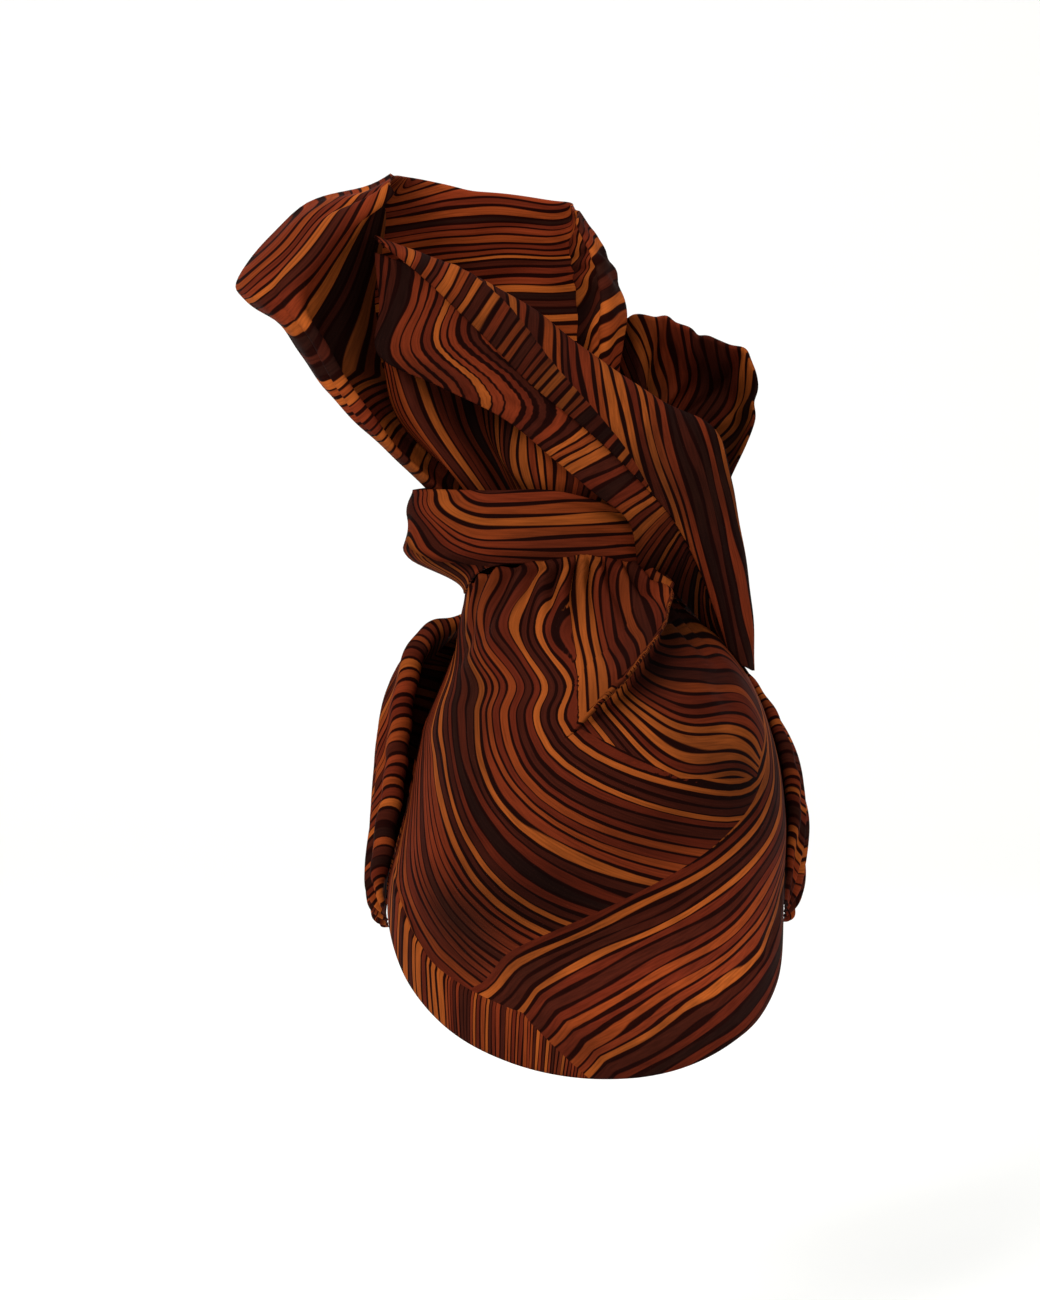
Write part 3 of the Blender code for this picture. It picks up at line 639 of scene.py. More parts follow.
@dataclass
class BackCap:
    """The bag over the back of the head, from its turned hem to the gathered top."""

    form: CapForm
    knot: KnotForm
    steps_round: int = 250
    steps_up: int = 120
    laid: float = 2.2 * MM
    gather_depth: float = 3.0 * MM
    gather_count: int = 13
    # levels from which the cap's top gathers, leans to the left and is laid on the loop
    gather_from: float = 0.70
    lean_from: float = 0.80
    seat_from: float = 0.86
    # angles from the back's middle where the free hem ends and where the smooth sides start
    hem_to: float = 70
    sides_from: float = 50
    lapel_step: float = 10 * MM
    # how far ahead of the lapel's edge and how far down its rolled rows lie, in mm
    lapel_roll: tuple = ((0.8, 0.5), (1.1, 1.5), (0.7, 2.7), (-1.0, 3.8))
    lapel_reach: float = 0.34
    # points across the lapel, how many of the cap's steps it covers, where it ends at the top
    lapel_points: int = 26
    lapel_cover: float = 34
    lapel_top: float = 0.995
    # how deep the lapel's root lies, and what its upper part and its lower fold add, in mm
    lapel_lift: tuple = (1.2, 2.6, 5.4)
    # painted shade on the rows rolled under the lapel's edge
    rolled_edge_shade: tuple = (0.5, 0.3, 0.2, 0.2)
    hem_height: float = 28 * MM
    tone: float = 0.80
    hem_step: float = 1.3 * MM
    stitch_depth: float = 1.0 * MM
    pucker_depth: float = 0.5 * MM
    pucker_length: float = 7 * MM
    softness: float = 1.0 * MM
    tuck_from: float = 0.965
    tuck_depth: float = 1.4 * MM
    reach_angle: float = 112
    top_spread: float = 13 * MM
    # turn, how far the gathered top dips in mm
    top_dip: tuple = ((-1.0, 17), (-0.7, 9), (-0.35, 2), (0.0, -3), (0.35, 0), (0.7, 6), (1.0, 16))
    # share of the way up, how far round the cap reaches there
    reach: tuple = ((0.0, 1.00), (0.5, 0.97), (0.7, 0.86), (0.8, 0.80), (1.0, 0.70))
    # angle from the back's middle, rise of the hem from the nape
    hem: tuple = (
        (-115, 0.440), (-90, 0.330), (-75, 0.245), (-60, 0.155), (-45, 0.085), (-25, 0.030),
        (0, 0.000), (25, 0.010), (45, 0.050), (60, 0.095), (75, 0.180), (90, 0.330), (115, 0.440),
    )
    # level, place across, how proud the lapel stands
    lapel: tuple = (
        (0.67, -0.10, 0.00), (0.72, -0.03, 0.50), (0.78, 0.06, 0.90),
        (0.84, 0.12, 1.00), (0.94, 0.15, 1.00), (1.00, 0.15, 0.20),
    )
    # soft folds: their places across at levels from the top down, then width and height in mm
    folds: tuple = (
        (((0.74, 0.00), (0.80, -0.06), (0.86, -0.12), (0.92, -0.15), (0.98, -0.16)), 9, 4.0),
        (((0.72, -0.34), (0.78, -0.29), (0.83, -0.25), (0.90, -0.27), (0.97, -0.25)), 8, 4.0),
        (((0.60, -0.44), (0.70, -0.38), (0.80, -0.31), (0.90, -0.20), (0.97, -0.18)), 7, 2.2),
        (((0.66, 0.30), (0.74, 0.24), (0.82, 0.20), (0.90, 0.17), (0.97, 0.15)), 8, 3.0),
        (((0.60, 0.40), (0.70, 0.36), (0.80, 0.30), (0.90, 0.22), (0.97, 0.17)), 6, 2.4),
    )
    # zones of painted shade, lighter instead where the strength is negative: arc and height in mm, width,
    # height, strength
    dark_zones: tuple = (
        (-24, -94, 38, 24, 0.6), (72, -46, 26, 24, 0.55), (30, -62, 34, 16, 0.35), (-66, -60, 14, 60, 0.2),
        (56, 4, 22, 18, 0.35), (25, -135, 60, 26, -0.75), (78, -105, 34, 34, -0.55),
    )
    # lean of the hem's stripes: arc in mm, degrees
    hem_leans: tuple = ((-150, 95), (-70, 92), (-30, 75), (0, 55), (30, 40), (90, 35), (150, 60))
    # the line over the lower stripes: arc and height in mm
    lower_line: tuple = (
        (-140, -150), (-60, -140), (-34, -118), (10, -96), (52, -74), (84, -52), (100, -30), (104, 40),
    )
    # the bend that the upper stripes follow round the lapel's tip, its third corner: arc and height in mm
    bend: tuple = ((-1.5, 60), (-7.5, 10), (-11, -19), (35, -42), (84, -46), (112, -6), (118, 60))
    line_points: int = 40
    # the sway of the stripes left of the lapel: height, where it starts and its length
    sway: tuple = (7 * MM, 4 * MM, 52 * MM)

    def build(self) -> Sheet:
        """Lay out the cap's cloth and its print."""
        turn = np.linspace(-1.0, 1.0, self.steps_round + 1)[:, None]
        climb = shares(self.steps_up)[None, :]
        angle = turn * self.reach_angle * column(self.reach, 1, climb)
        rise = self.form.height * column(self.hem, 1, angle)
        dip = np.interp(turn, *np.array(self.top_dip).T) * MM
        rising = rise * (1 - climb) + self.form.height * climb
        height = rising - self.form.nape_drop - dip * ease((climb - 0.6) / 0.4)
        level = (height + self.form.nape_drop) / self.form.height
        grid = self.form.point(angle, height)
        leaning = ease((level - self.lean_from) / (1 - self.lean_from))
        grid[..., 0] -= self.top_spread * leaning * ease(-turn / 0.9)
        seat = self.knot.back(grid[..., 0], grid[..., 2]) - self.laid
        seated = ease((level - self.seat_from) / (1 - self.seat_from))
        grid[..., 1] += seated * (seat - grid[..., 1])
        normals = grid_normals(grid)
        outward = normals * np.sign(-normals[self.steps_round // 2, self.steps_up // 2, 1])
        arc = self.form.section(level)[1] * np.radians(angle)
        above_hem = (height - (rise - self.form.nape_drop)) / self.hem_height
        bare = 1 - ease((np.abs(angle) - self.hem_to) / 15)
        proud = self.hem_step * (1 - ease((above_hem - 1) / 0.05)) * bare
        proud = proud - self.stitch_depth * bell(above_hem - 0.96, 0.05) * bare
        pucker = np.sin(arc / self.pucker_length + 2 * wander(arc, height, 40 * MM, 5))
        proud = proud + self.pucker_depth * pucker * bell(above_hem - 1.1, 0.35) * bare
        sides = ease((np.abs(angle) - self.sides_from) / 25) * (1 - ease((level - 0.9) / 0.1))
        fade = ease((level - self.gather_from) / (1 - self.gather_from)) ** 1.5 * (1 - sides)
        gather = np.sin(turn * math.pi * self.gather_count + 2.2 * wander(turn, level, 0.9, 11))
        proud = proud + self.gather_depth * fade * (1 + gather)
        across = grid[..., 0] / self.form.width
        for line, width, high in self.folds:
            middle = column(line, 1, level)
            window = ease((level - line[0][0]) / 0.06) * (1 - 0.7 * ease((level - 0.93) / 0.07))
            ridge = bell((across - middle) * self.form.width / MM, width)
            proud = proud + high * MM * ridge * window
        proud = proud + self.softness * wander(arc, height, 75 * MM, 21) * bare * ease((level - 0.12) / 0.2)
        edge = column(self.lapel, 1, level)
        inside = edge - across
        lapel = self.lapel_step * column(self.lapel, 2, level) * (level >= self.lapel[0][0])
        over = ease((inside + 0.02) / 0.06) * (1 - ease((inside - 0.03) / self.lapel_reach))
        proud = proud + 0.35 * lapel * over
        under = ease((-inside) / 0.02) * (1 - ease((-inside - 0.05) / 0.16))
        proud = proud - 0.35 * lapel * under
        grid = grid + outward * proud[..., None]
        tuck = ease((climb - self.tuck_from) / (1 - self.tuck_from))
        grid[..., 1] += tuck * (seat + self.laid - self.tuck_depth - grid[..., 1])
        layers, sides = self.prints(arc, height, inside, above_hem)
        # painted shadow cast by the lapel's fold on the cloth beside its edge, then painted shade in the dark
        # zones, lighter where a zone's strength is negative
        dark = self.tone * (1 - 0.75 * under * np.clip(lapel / self.lapel_step, 0, 1))
        for x, z, width, high, strength in self.dark_zones:
            spot = ((arc / MM - x) / width) ** 2 + ((height / MM - z) / high) ** 2
            dark = dark * (1 - strength * np.exp(-spot))
        self.surface = Surface(grid, outward, layers[0], inside)
        return Sheet("back_cap_cloth", grid, layers, sides, dark)

    def build_lapel(self) -> Sheet:
        """Lay the lapel fold over the cap, its right edge free and rolled under."""
        surface = self.surface
        root, upper, lower = self.lapel_lift
        last = round(self.steps_up * self.lapel[0][0])
        across = np.linspace(0.0, 1.0, self.lapel_points)
        steps = np.arange(self.steps_round + 1)
        places, prints, tones = [], [], []
        for row in range(round(self.steps_up * self.lapel_top), last - 1, -1):
            level = (surface.grid[self.steps_round // 2, row, 2] + self.form.nape_drop) / self.form.height
            down = np.clip((level - self.lapel[0][0]) / 0.1, 0.0, 1.0)
            stop = np.interp(0.0, -surface.inside[:, row], steps)
            picks = stop - self.lapel_cover * (0.3 + 0.7 * ease(down)) * (1 - across)
            free = ease(down / 0.45)
            proud = (upper * free + lower * ease(down)) * (1 - 0.85 * ease((level - 0.93) / 0.07))
            lift = (-root + (root + proud) * ease(across) ** 1.3) * MM
            out = follow(steps, surface.outward[:, row], picks)
            laid = follow(steps, surface.grid[:, row], picks) + out * lift[:, None]
            edgeward = laid[-1] - laid[-3]
            edgeward = edgeward / np.linalg.norm(edgeward)
            rolled = [laid[-1] + edgeward * ahead * MM - out[-1] * drop * MM * free
                      for ahead, drop in self.lapel_roll]
            places.append(np.concatenate([laid, rolled]))
            picks = np.concatenate([picks, np.full(len(self.lapel_roll), stop)])
            prints.append([np.interp(picks, steps, part[:, row]) for part in surface.print_layer])
            # painted shade on the rolled rows at the lapel's edge
            tones.append(self.tone * np.concatenate([np.ones(self.lapel_points), self.rolled_edge_shade]))
        grid, tone = np.array(places), np.array(tones)
        layer = tuple(np.array(prints).transpose(1, 0, 2))
        return Sheet("back_cap_lapel", grid, [layer], shade=tone)

    def prints(self, arc: np.ndarray, height: np.ndarray, inside: np.ndarray, above_hem: np.ndarray) -> tuple:
        """Run the stripes round the lapel's tip, across the slope and up the hem.

        Args:
            arc: Length round the cap from the back's middle.
            height: Height of the points.
            inside: How far left of the lapel's edge they are.
            above_hem: Height over the hem, in hem heights.

        Returns:
            The print's layers and the sides of those after the first.
        """
        high, start, length = self.sway
        sway = high * np.sin(2 * math.pi * (height - start) / length)
        level = (height + self.form.nape_drop) / self.form.height
        window = ease((level - 0.70) / 0.08) * ease((-arc + 4 * MM) / (20 * MM))
        bend = np.array(self.bend) * MM
        tip_arc, tip_height = bend[2]
        ring = distance_to_line(arc + sway * window, height, smooth_line(bend, self.line_points)) + 2.3 * MM
        right = arc - (tip_arc + (height - tip_height) * 0.12)
        tip_side = (right > 0) & (inside > 0) & (height > tip_height)
        round_tip = (np.where(tip_side, -np.minimum(ring, right), ring), height - arc * 0.3)
        slope = height * 0.86 + arc * 0.52 + 9 * MM * np.sin(arc / (17 * MM))
        low = smooth_line(np.array(self.lower_line) * MM, self.line_points)
        below = distance_to_line(arc, height, low)
        leans = np.array(self.hem_leans).T
        lean = np.radians(np.interp(arc / MM, *leans))
        reach = np.linspace(arc.min(), arc.max(), 400)
        passed = np.cumsum(np.sin(np.radians(np.interp(reach / MM, *leans)))) * (reach[1] - reach[0])
        turned = (height * np.cos(lean) - np.interp(arc, reach, passed),
                  height * np.sin(lean) + arc * np.cos(lean))
        layers = [round_tip, (-slope, arc), (below * 0.8, arc + height), turned]
        above_bend = height - np.interp(arc / MM, *np.array(self.bend[2:6]).T) * MM
        sides = [
            np.minimum(np.minimum(right, -inside * self.form.width), above_bend),
            np.interp(arc, low[:, 0], low[:, 1]) - height,
            np.minimum((0.96 - above_hem) * self.hem_height, -16 * MM - arc - (above_hem - 0.5) * 30 * MM),
        ]
        return layers, sides


@dataclass
class FrontBand:
    """The wide cloth over the forehead, its rear rim folded in and laid on the cap."""

    form: CapForm
    head: tuple = (76 * MM, 96 * MM, 78 * MM)
    steps_round: int = 220
    steps_forward: int = 60
    laid: float = 2.2 * MM
    # the rear fold's radius where it is free and where it is pressed, and the gap that presses it
    fold_radius: float = 4.5 * MM
    pressed_radius: float = 1.28 * MM
    gap: float = 2 * MM
    leg: float = 16 * MM
    pleat_depth: float = 3.0 * MM
    pleats: float = 4
    slant: float = 1.6
    end_fade: float = 0.09
    trimmed: float = 0.02
    # the turned-in rows: their shares of the leg, then their angles round the fold, and their painted shade,
    # deepest in the hollow between the rim and the cap
    leg_shares: tuple = (1.0, 0.75, 0.5, 0.25, 0.1)
    fold_turns: tuple = (165, 140, 115, 90, 65, 40, 18)
    turned_rows_shade: tuple = (0.10, 0.12, 0.15, 0.20, 0.25, 0.35, 0.50, 0.75, 0.9)
    ruck_height: float = 0.45 * MM
    ruck_length: float = 3.2 * MM
    softness: float = 0.8 * MM
    # place, then across, forward and height of the rear rim and of the brow hem, in the cap's sizes
    edges: tuple = (
        (0.00, -0.552, 0.04, 0.240, -0.552, 0.24, 0.215),
        (0.09, -0.594, -0.05, 0.357, -0.580, 0.20, 0.226),
        (0.18, -0.561, -0.02, 0.539, -0.560, 0.34, 0.300),
        (0.31, -0.490, 0.00, 0.826, -0.478, 0.60, 0.396),
        (0.41, -0.330, 0.06, 0.880, -0.330, 0.85, 0.490),
        (0.50, -0.056, -0.16, 0.950, -0.011, 1.00, 0.545),
        (0.59, 0.175, -0.06, 0.880, 0.222, 0.94, 0.520),
        (0.68, 0.330, 0.12, 0.795, 0.367, 0.79, 0.468),
        (0.76, 0.452, 0.10, 0.687, 0.456, 0.57, 0.392),
        (0.84, 0.520, 0.02, 0.539, 0.503, 0.34, 0.304),
        (0.92, 0.508, -0.01, 0.383, 0.510, 0.20, 0.238),
        (1.00, 0.486, 0.04, 0.250, 0.488, 0.24, 0.225),
    )

    def edge(self, first: int, place: np.ndarray) -> np.ndarray:
        """One edge of the band in metres."""
        form = self.form
        across = form.width * column(self.edges, first, place)
        forward = form.depth * column(self.edges, first + 1, place)
        height = form.height * column(self.edges, first + 2, place) - form.nape_drop
        return np.stack([across, forward, height], axis=-1)

    def radius(self, direction: np.ndarray) -> np.ndarray:
        """Radius of the head form along unit directions."""
        return 1.0 / np.linalg.norm(direction / np.array(self.head), axis=-1)

    def sweep(self, place: np.ndarray, sweep: np.ndarray) -> np.ndarray:
        """The outer cloth, swept over the head form from its rear rim to its brow hem."""
        centre = np.array([0.0, 0.0, -self.head[2]])
        rim = self.edge(1, place)[:, None, :] - centre
        hem = self.edge(4, place)[:, None, :] - centre
        mix = rim * (1 - sweep[None, :, None]) + hem * sweep[None, :, None]
        direction = mix / np.linalg.norm(mix, axis=-1, keepdims=True)
        scales = []
        for side in (rim, hem):
            length = np.linalg.norm(side, axis=-1)
            scales.append(length / self.radius(side / length[..., None]))
        scale = scales[0] * (1 - sweep) + scales[1] * sweep
        return centre + direction * (self.radius(direction) * scale)[..., None]

    def build(self) -> Sheet:
        """Lay out the band's cloth and its print."""
        place = np.linspace(self.trimmed, 1.0 - self.trimmed, self.steps_round + 1)
        sweep = np.linspace(0.0, 1.0, self.steps_forward + 1)
        outer = self.sweep(place, sweep)
        normals = grid_normals(outer)
        normals = normals * np.sign(normals[self.steps_round // 2, self.steps_forward // 2, 2])
        pleat = np.sin(2 * math.pi * (self.pleats * sweep[None, :] + self.slant * place[:, None]))
        fade = ease(sweep / 0.35) * ease((1 - sweep) / 0.15)
        run, rise = lengths(outer)
        rucks = self.ruck_height * np.sin(run / self.ruck_length + 2 * wander(run, rise, 60 * MM, 9))
        rucks = rucks * (1 - ease(sweep / 0.25))
        soft = self.softness * wander(run, rise, 45 * MM, 14) * fade[None, :]
        ends = ease(place / self.end_fade) * ease((1 - place) / self.end_fade)
        high = (self.pleat_depth * pleat * fade[None, :] + rucks + soft) * ends[:, None]
        outer = self.form.clear(outer + normals * high[..., None], self.laid)
        rim = outer[:, 0]
        rearward = rim - outer[:, 3]
        rearward = rearward / np.linalg.norm(rearward, axis=-1, keepdims=True)
        up = normals[:, 0]
        stand_off = self.form.stand_off(rim)
        seated = ease(stand_off / self.gap)
        room = np.clip((stand_off - self.gap) / 2, self.pressed_radius, self.fold_radius)
        radius = ((room * seated + self.fold_radius * (1 - seated)) * (0.25 + 0.75 * ends))[:, None]
        leg = (self.leg * (0.15 + 0.85 * ends))[:, None]
        fold = []
        for turn in np.radians(self.fold_turns):
            fold.append(rim - up * radius * (1 - math.cos(turn)) + rearward * radius * math.sin(turn))
        legs = [rim - up * radius * 2 - rearward * leg * share for share in self.leg_shares]
        folded = np.stack(legs + fold, axis=1)
        laid = self.form.clear(folded, self.laid)
        laid[:, 0] = self.form.clear(legs[0], self.laid, only_push=False)
        share = seated[:, None, None]
        grid = np.concatenate([laid * share + folded * (1 - share), outer], axis=1)
        run, rise = lengths(grid)
        slanted = mean_run(run) + 0.35 * rise * ease((rise - 0.03) / 0.05)
        # painted shade on the turned-in rows, none on the outer cloth
        tone = np.concatenate([self.turned_rows_shade, np.ones(grid.shape[1] - len(self.turned_rows_shade))])
        return Sheet("front_band_cloth", grid, [(slanted, rise)], shade=np.tile(tone, (len(grid), 1)))


@dataclass
class KnotWrap:
    """The flat loop of cloth round the foot of the bow, with long shallow folds."""

    knot: KnotForm
    steps_round: int = 220
    steps_up: int = 34
    fold_depth: float = 1.3 * MM
    slack: float = 0.6 * MM
    tone: float = 0.72
    # angle, how far up the turned lower edge reaches
    turned_line: tuple = (
        (-180, 0.0), (-115, 0.0), (-100, 0.5), (-80, 0.5), (-62, 0.36), (-45, 0.22), (-28, 0.0), (180, 0.0),
    )

    def build(self) -> Sheet:
        """Lay out the loop's cloth and its print."""
        angle = np.linspace(-HALF_TURN, HALF_TURN, self.steps_round + 1)[:, None]
        climb = shares(self.steps_up)[None, :]
        half_width, half_depth, height = self.knot.profile(angle, climb)
        turn = np.radians(angle)
        fold = np.sin(climb * 3.2 * math.pi + 1.1 * np.sin(turn) + 0.8 * np.sin(2 * turn + 1.0))
        fade = ease(climb / 0.25) * ease((1 - climb) / 0.15)
        swell = self.fold_depth * (fold + 0.6 * np.sin(3 * turn + 4 * climb)) * fade + self.slack
        across = -self.knot.left + (half_width + swell) * np.sin(turn)
        forward = self.knot.forward - (half_depth + swell) * np.cos(turn)
        grid = np.stack([across, forward, height], axis=-1)
        met = np.where(np.abs(angle) > 90, np.sign(angle) * (HALF_TURN - np.abs(angle)), angle)
        around = self.knot.width / 2 * 0.8 * np.radians(met)
        fan = ease((-angle - 25) / 60) * (1 - ease((-angle - 120) / 50))
        rise = (height - self.knot.base) * (1 - 0.45 * fan) + 9 * MM * fan * np.sin(np.radians(angle) * 1.5)
        around = np.broadcast_to(around, rise.shape)
        line = np.interp(angle, *np.array(self.turned_line).T)
        side = (line - climb) * 30 * MM
        turned = (rise * 0.6 + around * 0.9, around - rise)
        # painted shade along the line where the turned lower edge ends
        shade = self.tone * (1 - 0.5 * bell(line - climb, 0.05) * (line > 0)) + np.zeros(rise.shape)
        return Sheet("topknot_wrap_cloth", grid, [(rise, around), turned], [side], shade, closed=True)


@dataclass
class KnotCore:
    """The gathered cloth that the loop binds, rucked into radiating folds."""

    knot: KnotForm
    rings: int = 40
    spokes: int = 160
    ruck: float = 0.035
    ruck_count: int = 19
    # painted shade over the whole bundle, which lies inside the loop
    tone: float = 0.7
    # how thin the middle ring of the sphere is taken to be
    equator: float = 1e-4

    def build(self) -> bpy.types.Object:
        """Make the bundle from a sphere that is pressed flat and rucked."""
        bpy.ops.object.select_all(action="DESELECT")
        bpy.ops.mesh.primitive_uv_sphere_add(segments=self.spokes, ring_count=self.rings, radius=1.0)
        piece = bpy.context.object
        piece.name = "knot_core_cloth"
        mesh = piece.data
        mesh.name = piece.name
        flat = np.array([vertex.co[:] for vertex in mesh.vertices])
        radius = np.hypot(flat[:, 0], flat[:, 1])
        spoke = np.arctan2(flat[:, 1], flat[:, 0])
        stretch = np.where(radius > TINY, np.maximum(radius, TINY) ** (2 / self.knot.rounding - 1), 0.0)
        lift = np.sign(flat[:, 2]) * self.knot.core_lift(radius * stretch)
        lift = np.where(np.abs(flat[:, 2]) > self.equator, lift, 0.0)
        rucks = 1 + np.sin(spoke * self.ruck_count + 2 * np.sin(spoke * 3))
        lift = lift * (1 - self.ruck * rucks * ease(radius / 0.5))
        places = self.knot.core_place(flat[:, 0] * stretch, flat[:, 1] * stretch, lift)
        mesh.vertices.foreach_set("co", places.reshape(-1))
        prints = mesh.uv_layers.active
        prints.name = PRINT_MAP
        loops = np.zeros(len(mesh.loops), dtype=int)
        mesh.loops.foreach_get("vertex_index", loops)
        corners = np.stack([places[:, 0], places[:, 1] + places[:, 2]], axis=-1)[loops]
        prints.data.foreach_set("uv", corners.reshape(-1))
        # painted shade: the bundle is dimmed all over and wears a shaded copy of the print
        add_values(mesh, SHADE, np.full(len(mesh.vertices), self.tone))
        mesh.materials.append(PrintedCotton(name="printed_cotton_shaded", painted_shade=0.3).make())
        mesh.shade_smooth()
        mesh.update()
        return piece


@dataclass
class BowCloth:
    """A sheet of the bow that stands on the bundle, from its folds' points."""

    knot: KnotForm
    name: str
    folds: dict
    steps_along: int
    steps_up: int
    pleats: float
    depth: float
    slants: tuple = ((0.0, 90.0), (1.0, 90.0))
    # folds along the cloth: place at the foot, at the rim, from, to, width and height in mm
    creases: tuple = ()
    seed: int = 1
    # painted light and shade: share along the cloth, how light it is painted
    painted_light_and_shade: tuple = ((0.0, 1.0), (1.0, 1.0))
    # how far the print's rows are spread evenly over the height
    evened: float = 0.0
    # swellings of the outline: place along and up, width and height, then how far across and up in mm
    bulges: tuple = ()
    # how far the print's rows fan out, over the height from a share up and over the first part along
    fan: float = 0.0
    fan_from: float = 0.45
    fan_to: float = 0.36

    def net(self) -> list:
        """Control points of the sheet."""
        rows = self.folds.values()
        return [[self.knot.root(*foot), *(self.knot.bow(*point) for point in up)] for foot, *up in rows]

    def build(self) -> Sheet:
        """Lay out the cloth and its print."""
        grid = fill_net(self.net(), self.steps_along + 1, self.steps_up + 1)
        climb = shares(self.steps_up)[None, :]
        share = shares(self.steps_along)[:, None]
        normals = grid_normals(grid)
        run, rise = lengths(grid)
        waves = np.sin(2 * math.pi * self.pleats * share + 1.6 * wander(share, climb * 0.6, 0.8, self.seed))
        fade = np.sin(math.pi * climb) + 0.25 * ease((climb - 0.6) / 0.4)
        high = self.depth * waves * fade + 0.5 * self.depth * wander(run, rise, 38 * MM, self.seed + 3) * fade
        for start, end, low, top, width, height in self.creases:
            middle = start + (end - start) * climb
            window = ease((climb - low) / 0.15) * (1 - ease((climb - top) / 0.15))
            high = high + height * MM * bell(share - middle, width) * window
        grid = grid + normals * high[..., None]
        for middle, level, width, height, across, up in self.bulges:
            swell = np.exp(-((share - middle) / width) ** 2 - ((climb - level) / height) ** 2)
            grid = grid + swell[..., None] * np.array([across, 0.0, up]) * MM
        run, rise = lengths(grid)
        rise = rise * (1 - self.evened) + climb * rise[:, -1].mean() * self.evened
        fanned = np.clip((climb - self.fan_from) / (1 - self.fan_from), 0.0, 1.0)
        lean = self.fan * fanned * (1 - ease((share - self.fan_to) / 0.1))
        rise = rise - lean * (grid[..., 0] - grid[..., 0].min())
        return Sheet(self.name, grid, [self.slanted(run, rise, share)], shade=self.tone(share, climb))

    def slanted(self, run: np.ndarray, rise: np.ndarray, share: np.ndarray) -> tuple:
        """Turn the print's stripes to the slants along the cloth.

        Args:
            run: Length along the cloth.
            rise: Length up it.
            share: Share of the way along.

        Returns:
            Lengths across and along the stripes.
        """
        turn = np.radians(column(self.slants, 1, share))
        steady = mean_run(run)
        step = np.diff(steady, axis=0, prepend=steady[:1])
        passed = np.cumsum(step * np.cos(turn), axis=0)
        along = np.cumsum(step * np.sin(turn), axis=0)
        return passed + rise * np.sin(turn), along - rise * np.cos(turn)

    def tone(self, share: np.ndarray, climb: np.ndarray) -> np.ndarray:
        """Painted light and shade along the cloth's run, with more painted shade towards its foot."""
        dark = column(self.painted_light_and_shade, 1, share)
        return np.broadcast_to(dark, np.broadcast(share, climb).shape) * (0.75 + 0.25 * ease(climb / 0.35))


@dataclass
class UpperSash(BowCloth):
    """The strip that crosses the bow and falls down its right side as a tail."""

    form: CapForm = field(default_factory=CapForm)
    turn: float = 12 * MM
    turned_share: float = 0.85
    fold_step: float = 2.5 * MM
    # share along, how far up the strip the fold's line runs
    fold_line: tuple = ((0.0, 0.80), (0.12, 0.66), (0.3, 0.36), (0.5, 0.12), (0.62, 0.0), (1.0, 0.0))
    laid: float = 2.2 * MM

    def net(self) -> list:
        """Control points of the strip, with its turned upper edge."""
        rows = []
        for lower, upper in self.folds.values():
            low, high = self.knot.bow(*lower), self.knot.bow(*upper)
            swell = (low + high) / 2 - np.array([0.0, self.turn * 0.25, 0.0])
            turned = high * self.turned_share + low * (1 - self.turned_share)
            rows.append([low, swell, high, turned + np.array([0.0, self.turn, 0.0])])
        return rows

    def build(self) -> Sheet:
        """Lay out the strip, kept off the cap where the tail's tip lies on it."""
        sheet = super().build()
        share = shares(self.steps_along)[:, None]
        climb = shares(self.steps_up)[None, :]
        over = column(self.fold_line, 1, share) - climb
        normals = grid_normals(sheet.grid)
        outward = -normals * np.sign(normals[self.steps_along // 2, self.steps_up // 4, 1])
        step = self.fold_step * ease(over / 0.04) * (1 - ease((over - 0.1) / 0.3))
        step = step * ease((share - 0.08) / 0.06)
        sheet.grid = self.form.clear(sheet.grid + outward * step[..., None], self.laid)
        run, rise = lengths(sheet.grid)
        sheet.layers.append((mean_run(run) * 0.96 + rise * 0.35, rise))
        sheet.sides.append(np.minimum(over * 40 * MM, (0.64 - share) * 300 * MM) * np.ones(run.shape))
        return sheet


@dataclass
class LowerSash(BowCloth):
    """The strip under the upper one, whose edge it tucks behind."""

    upper: UpperSash | None = None
    # the part of the upper strip that it runs under, in shares
    cover: tuple = (0.062, 0.985)
    # steps along and up of the upper strip as it is read here, and how many of the latter it reaches
    fine_steps: tuple = (320, 24)
    tucked: int = 5
    behind: float = 2.2 * MM

    def build(self) -> Sheet:
        """Lay out the strip from its free lower edge to the back of the upper strip."""
        along, up = self.fine_steps
        above = fill_net(self.upper.net(), along + 1, up + 1)
        above = self.upper.form.clear(above, self.upper.laid)
        normals = grid_normals(above)
        behind = normals * np.sign(normals[along // 2, self.tucked - 1, 1])
        first, last = (round(share * along) for share in self.cover)
        under = (above + behind * self.behind)[first:last, :self.tucked]
        picks = np.linspace(0, len(under) - 1, self.steps_along + 1).round().astype(int)
        under = under[picks]
        edge = np.array([self.knot.bow(*point) for point in self.folds.values()])
        lower = follow(np.arange(len(edge)), edge, np.linspace(0, len(edge) - 1, len(under)))
        share = shares(self.steps_up)[None, :, None]
        shown = lower[:, None, :] * (1 - share) + under[:, :1] * share
        grid = np.concatenate([shown, under[:, 1:]], axis=1)
        climb = shares(grid.shape[1] - 1)[None, :]
        along = shares(grid.shape[0] - 1)[:, None]
        fade = ease(climb / 0.1) * (1 - ease((climb - 0.55) / 0.2))
        waves = np.sin(2 * math.pi * self.pleats * climb + 2 * wander(along, climb, 0.9, self.seed))
        facing = grid_normals(grid)
        facing = -facing * np.sign(facing[len(grid) // 2, self.tucked - 1, 1])
        grid = grid + facing * (self.depth * waves * fade)[..., None]
        grid = self.upper.form.clear(grid, self.upper.laid - 0.5 * MM)
        run, rise = lengths(grid)
        return Sheet(self.name, grid, [self.slanted(run, rise, along)], shade=self.tone(along, climb))


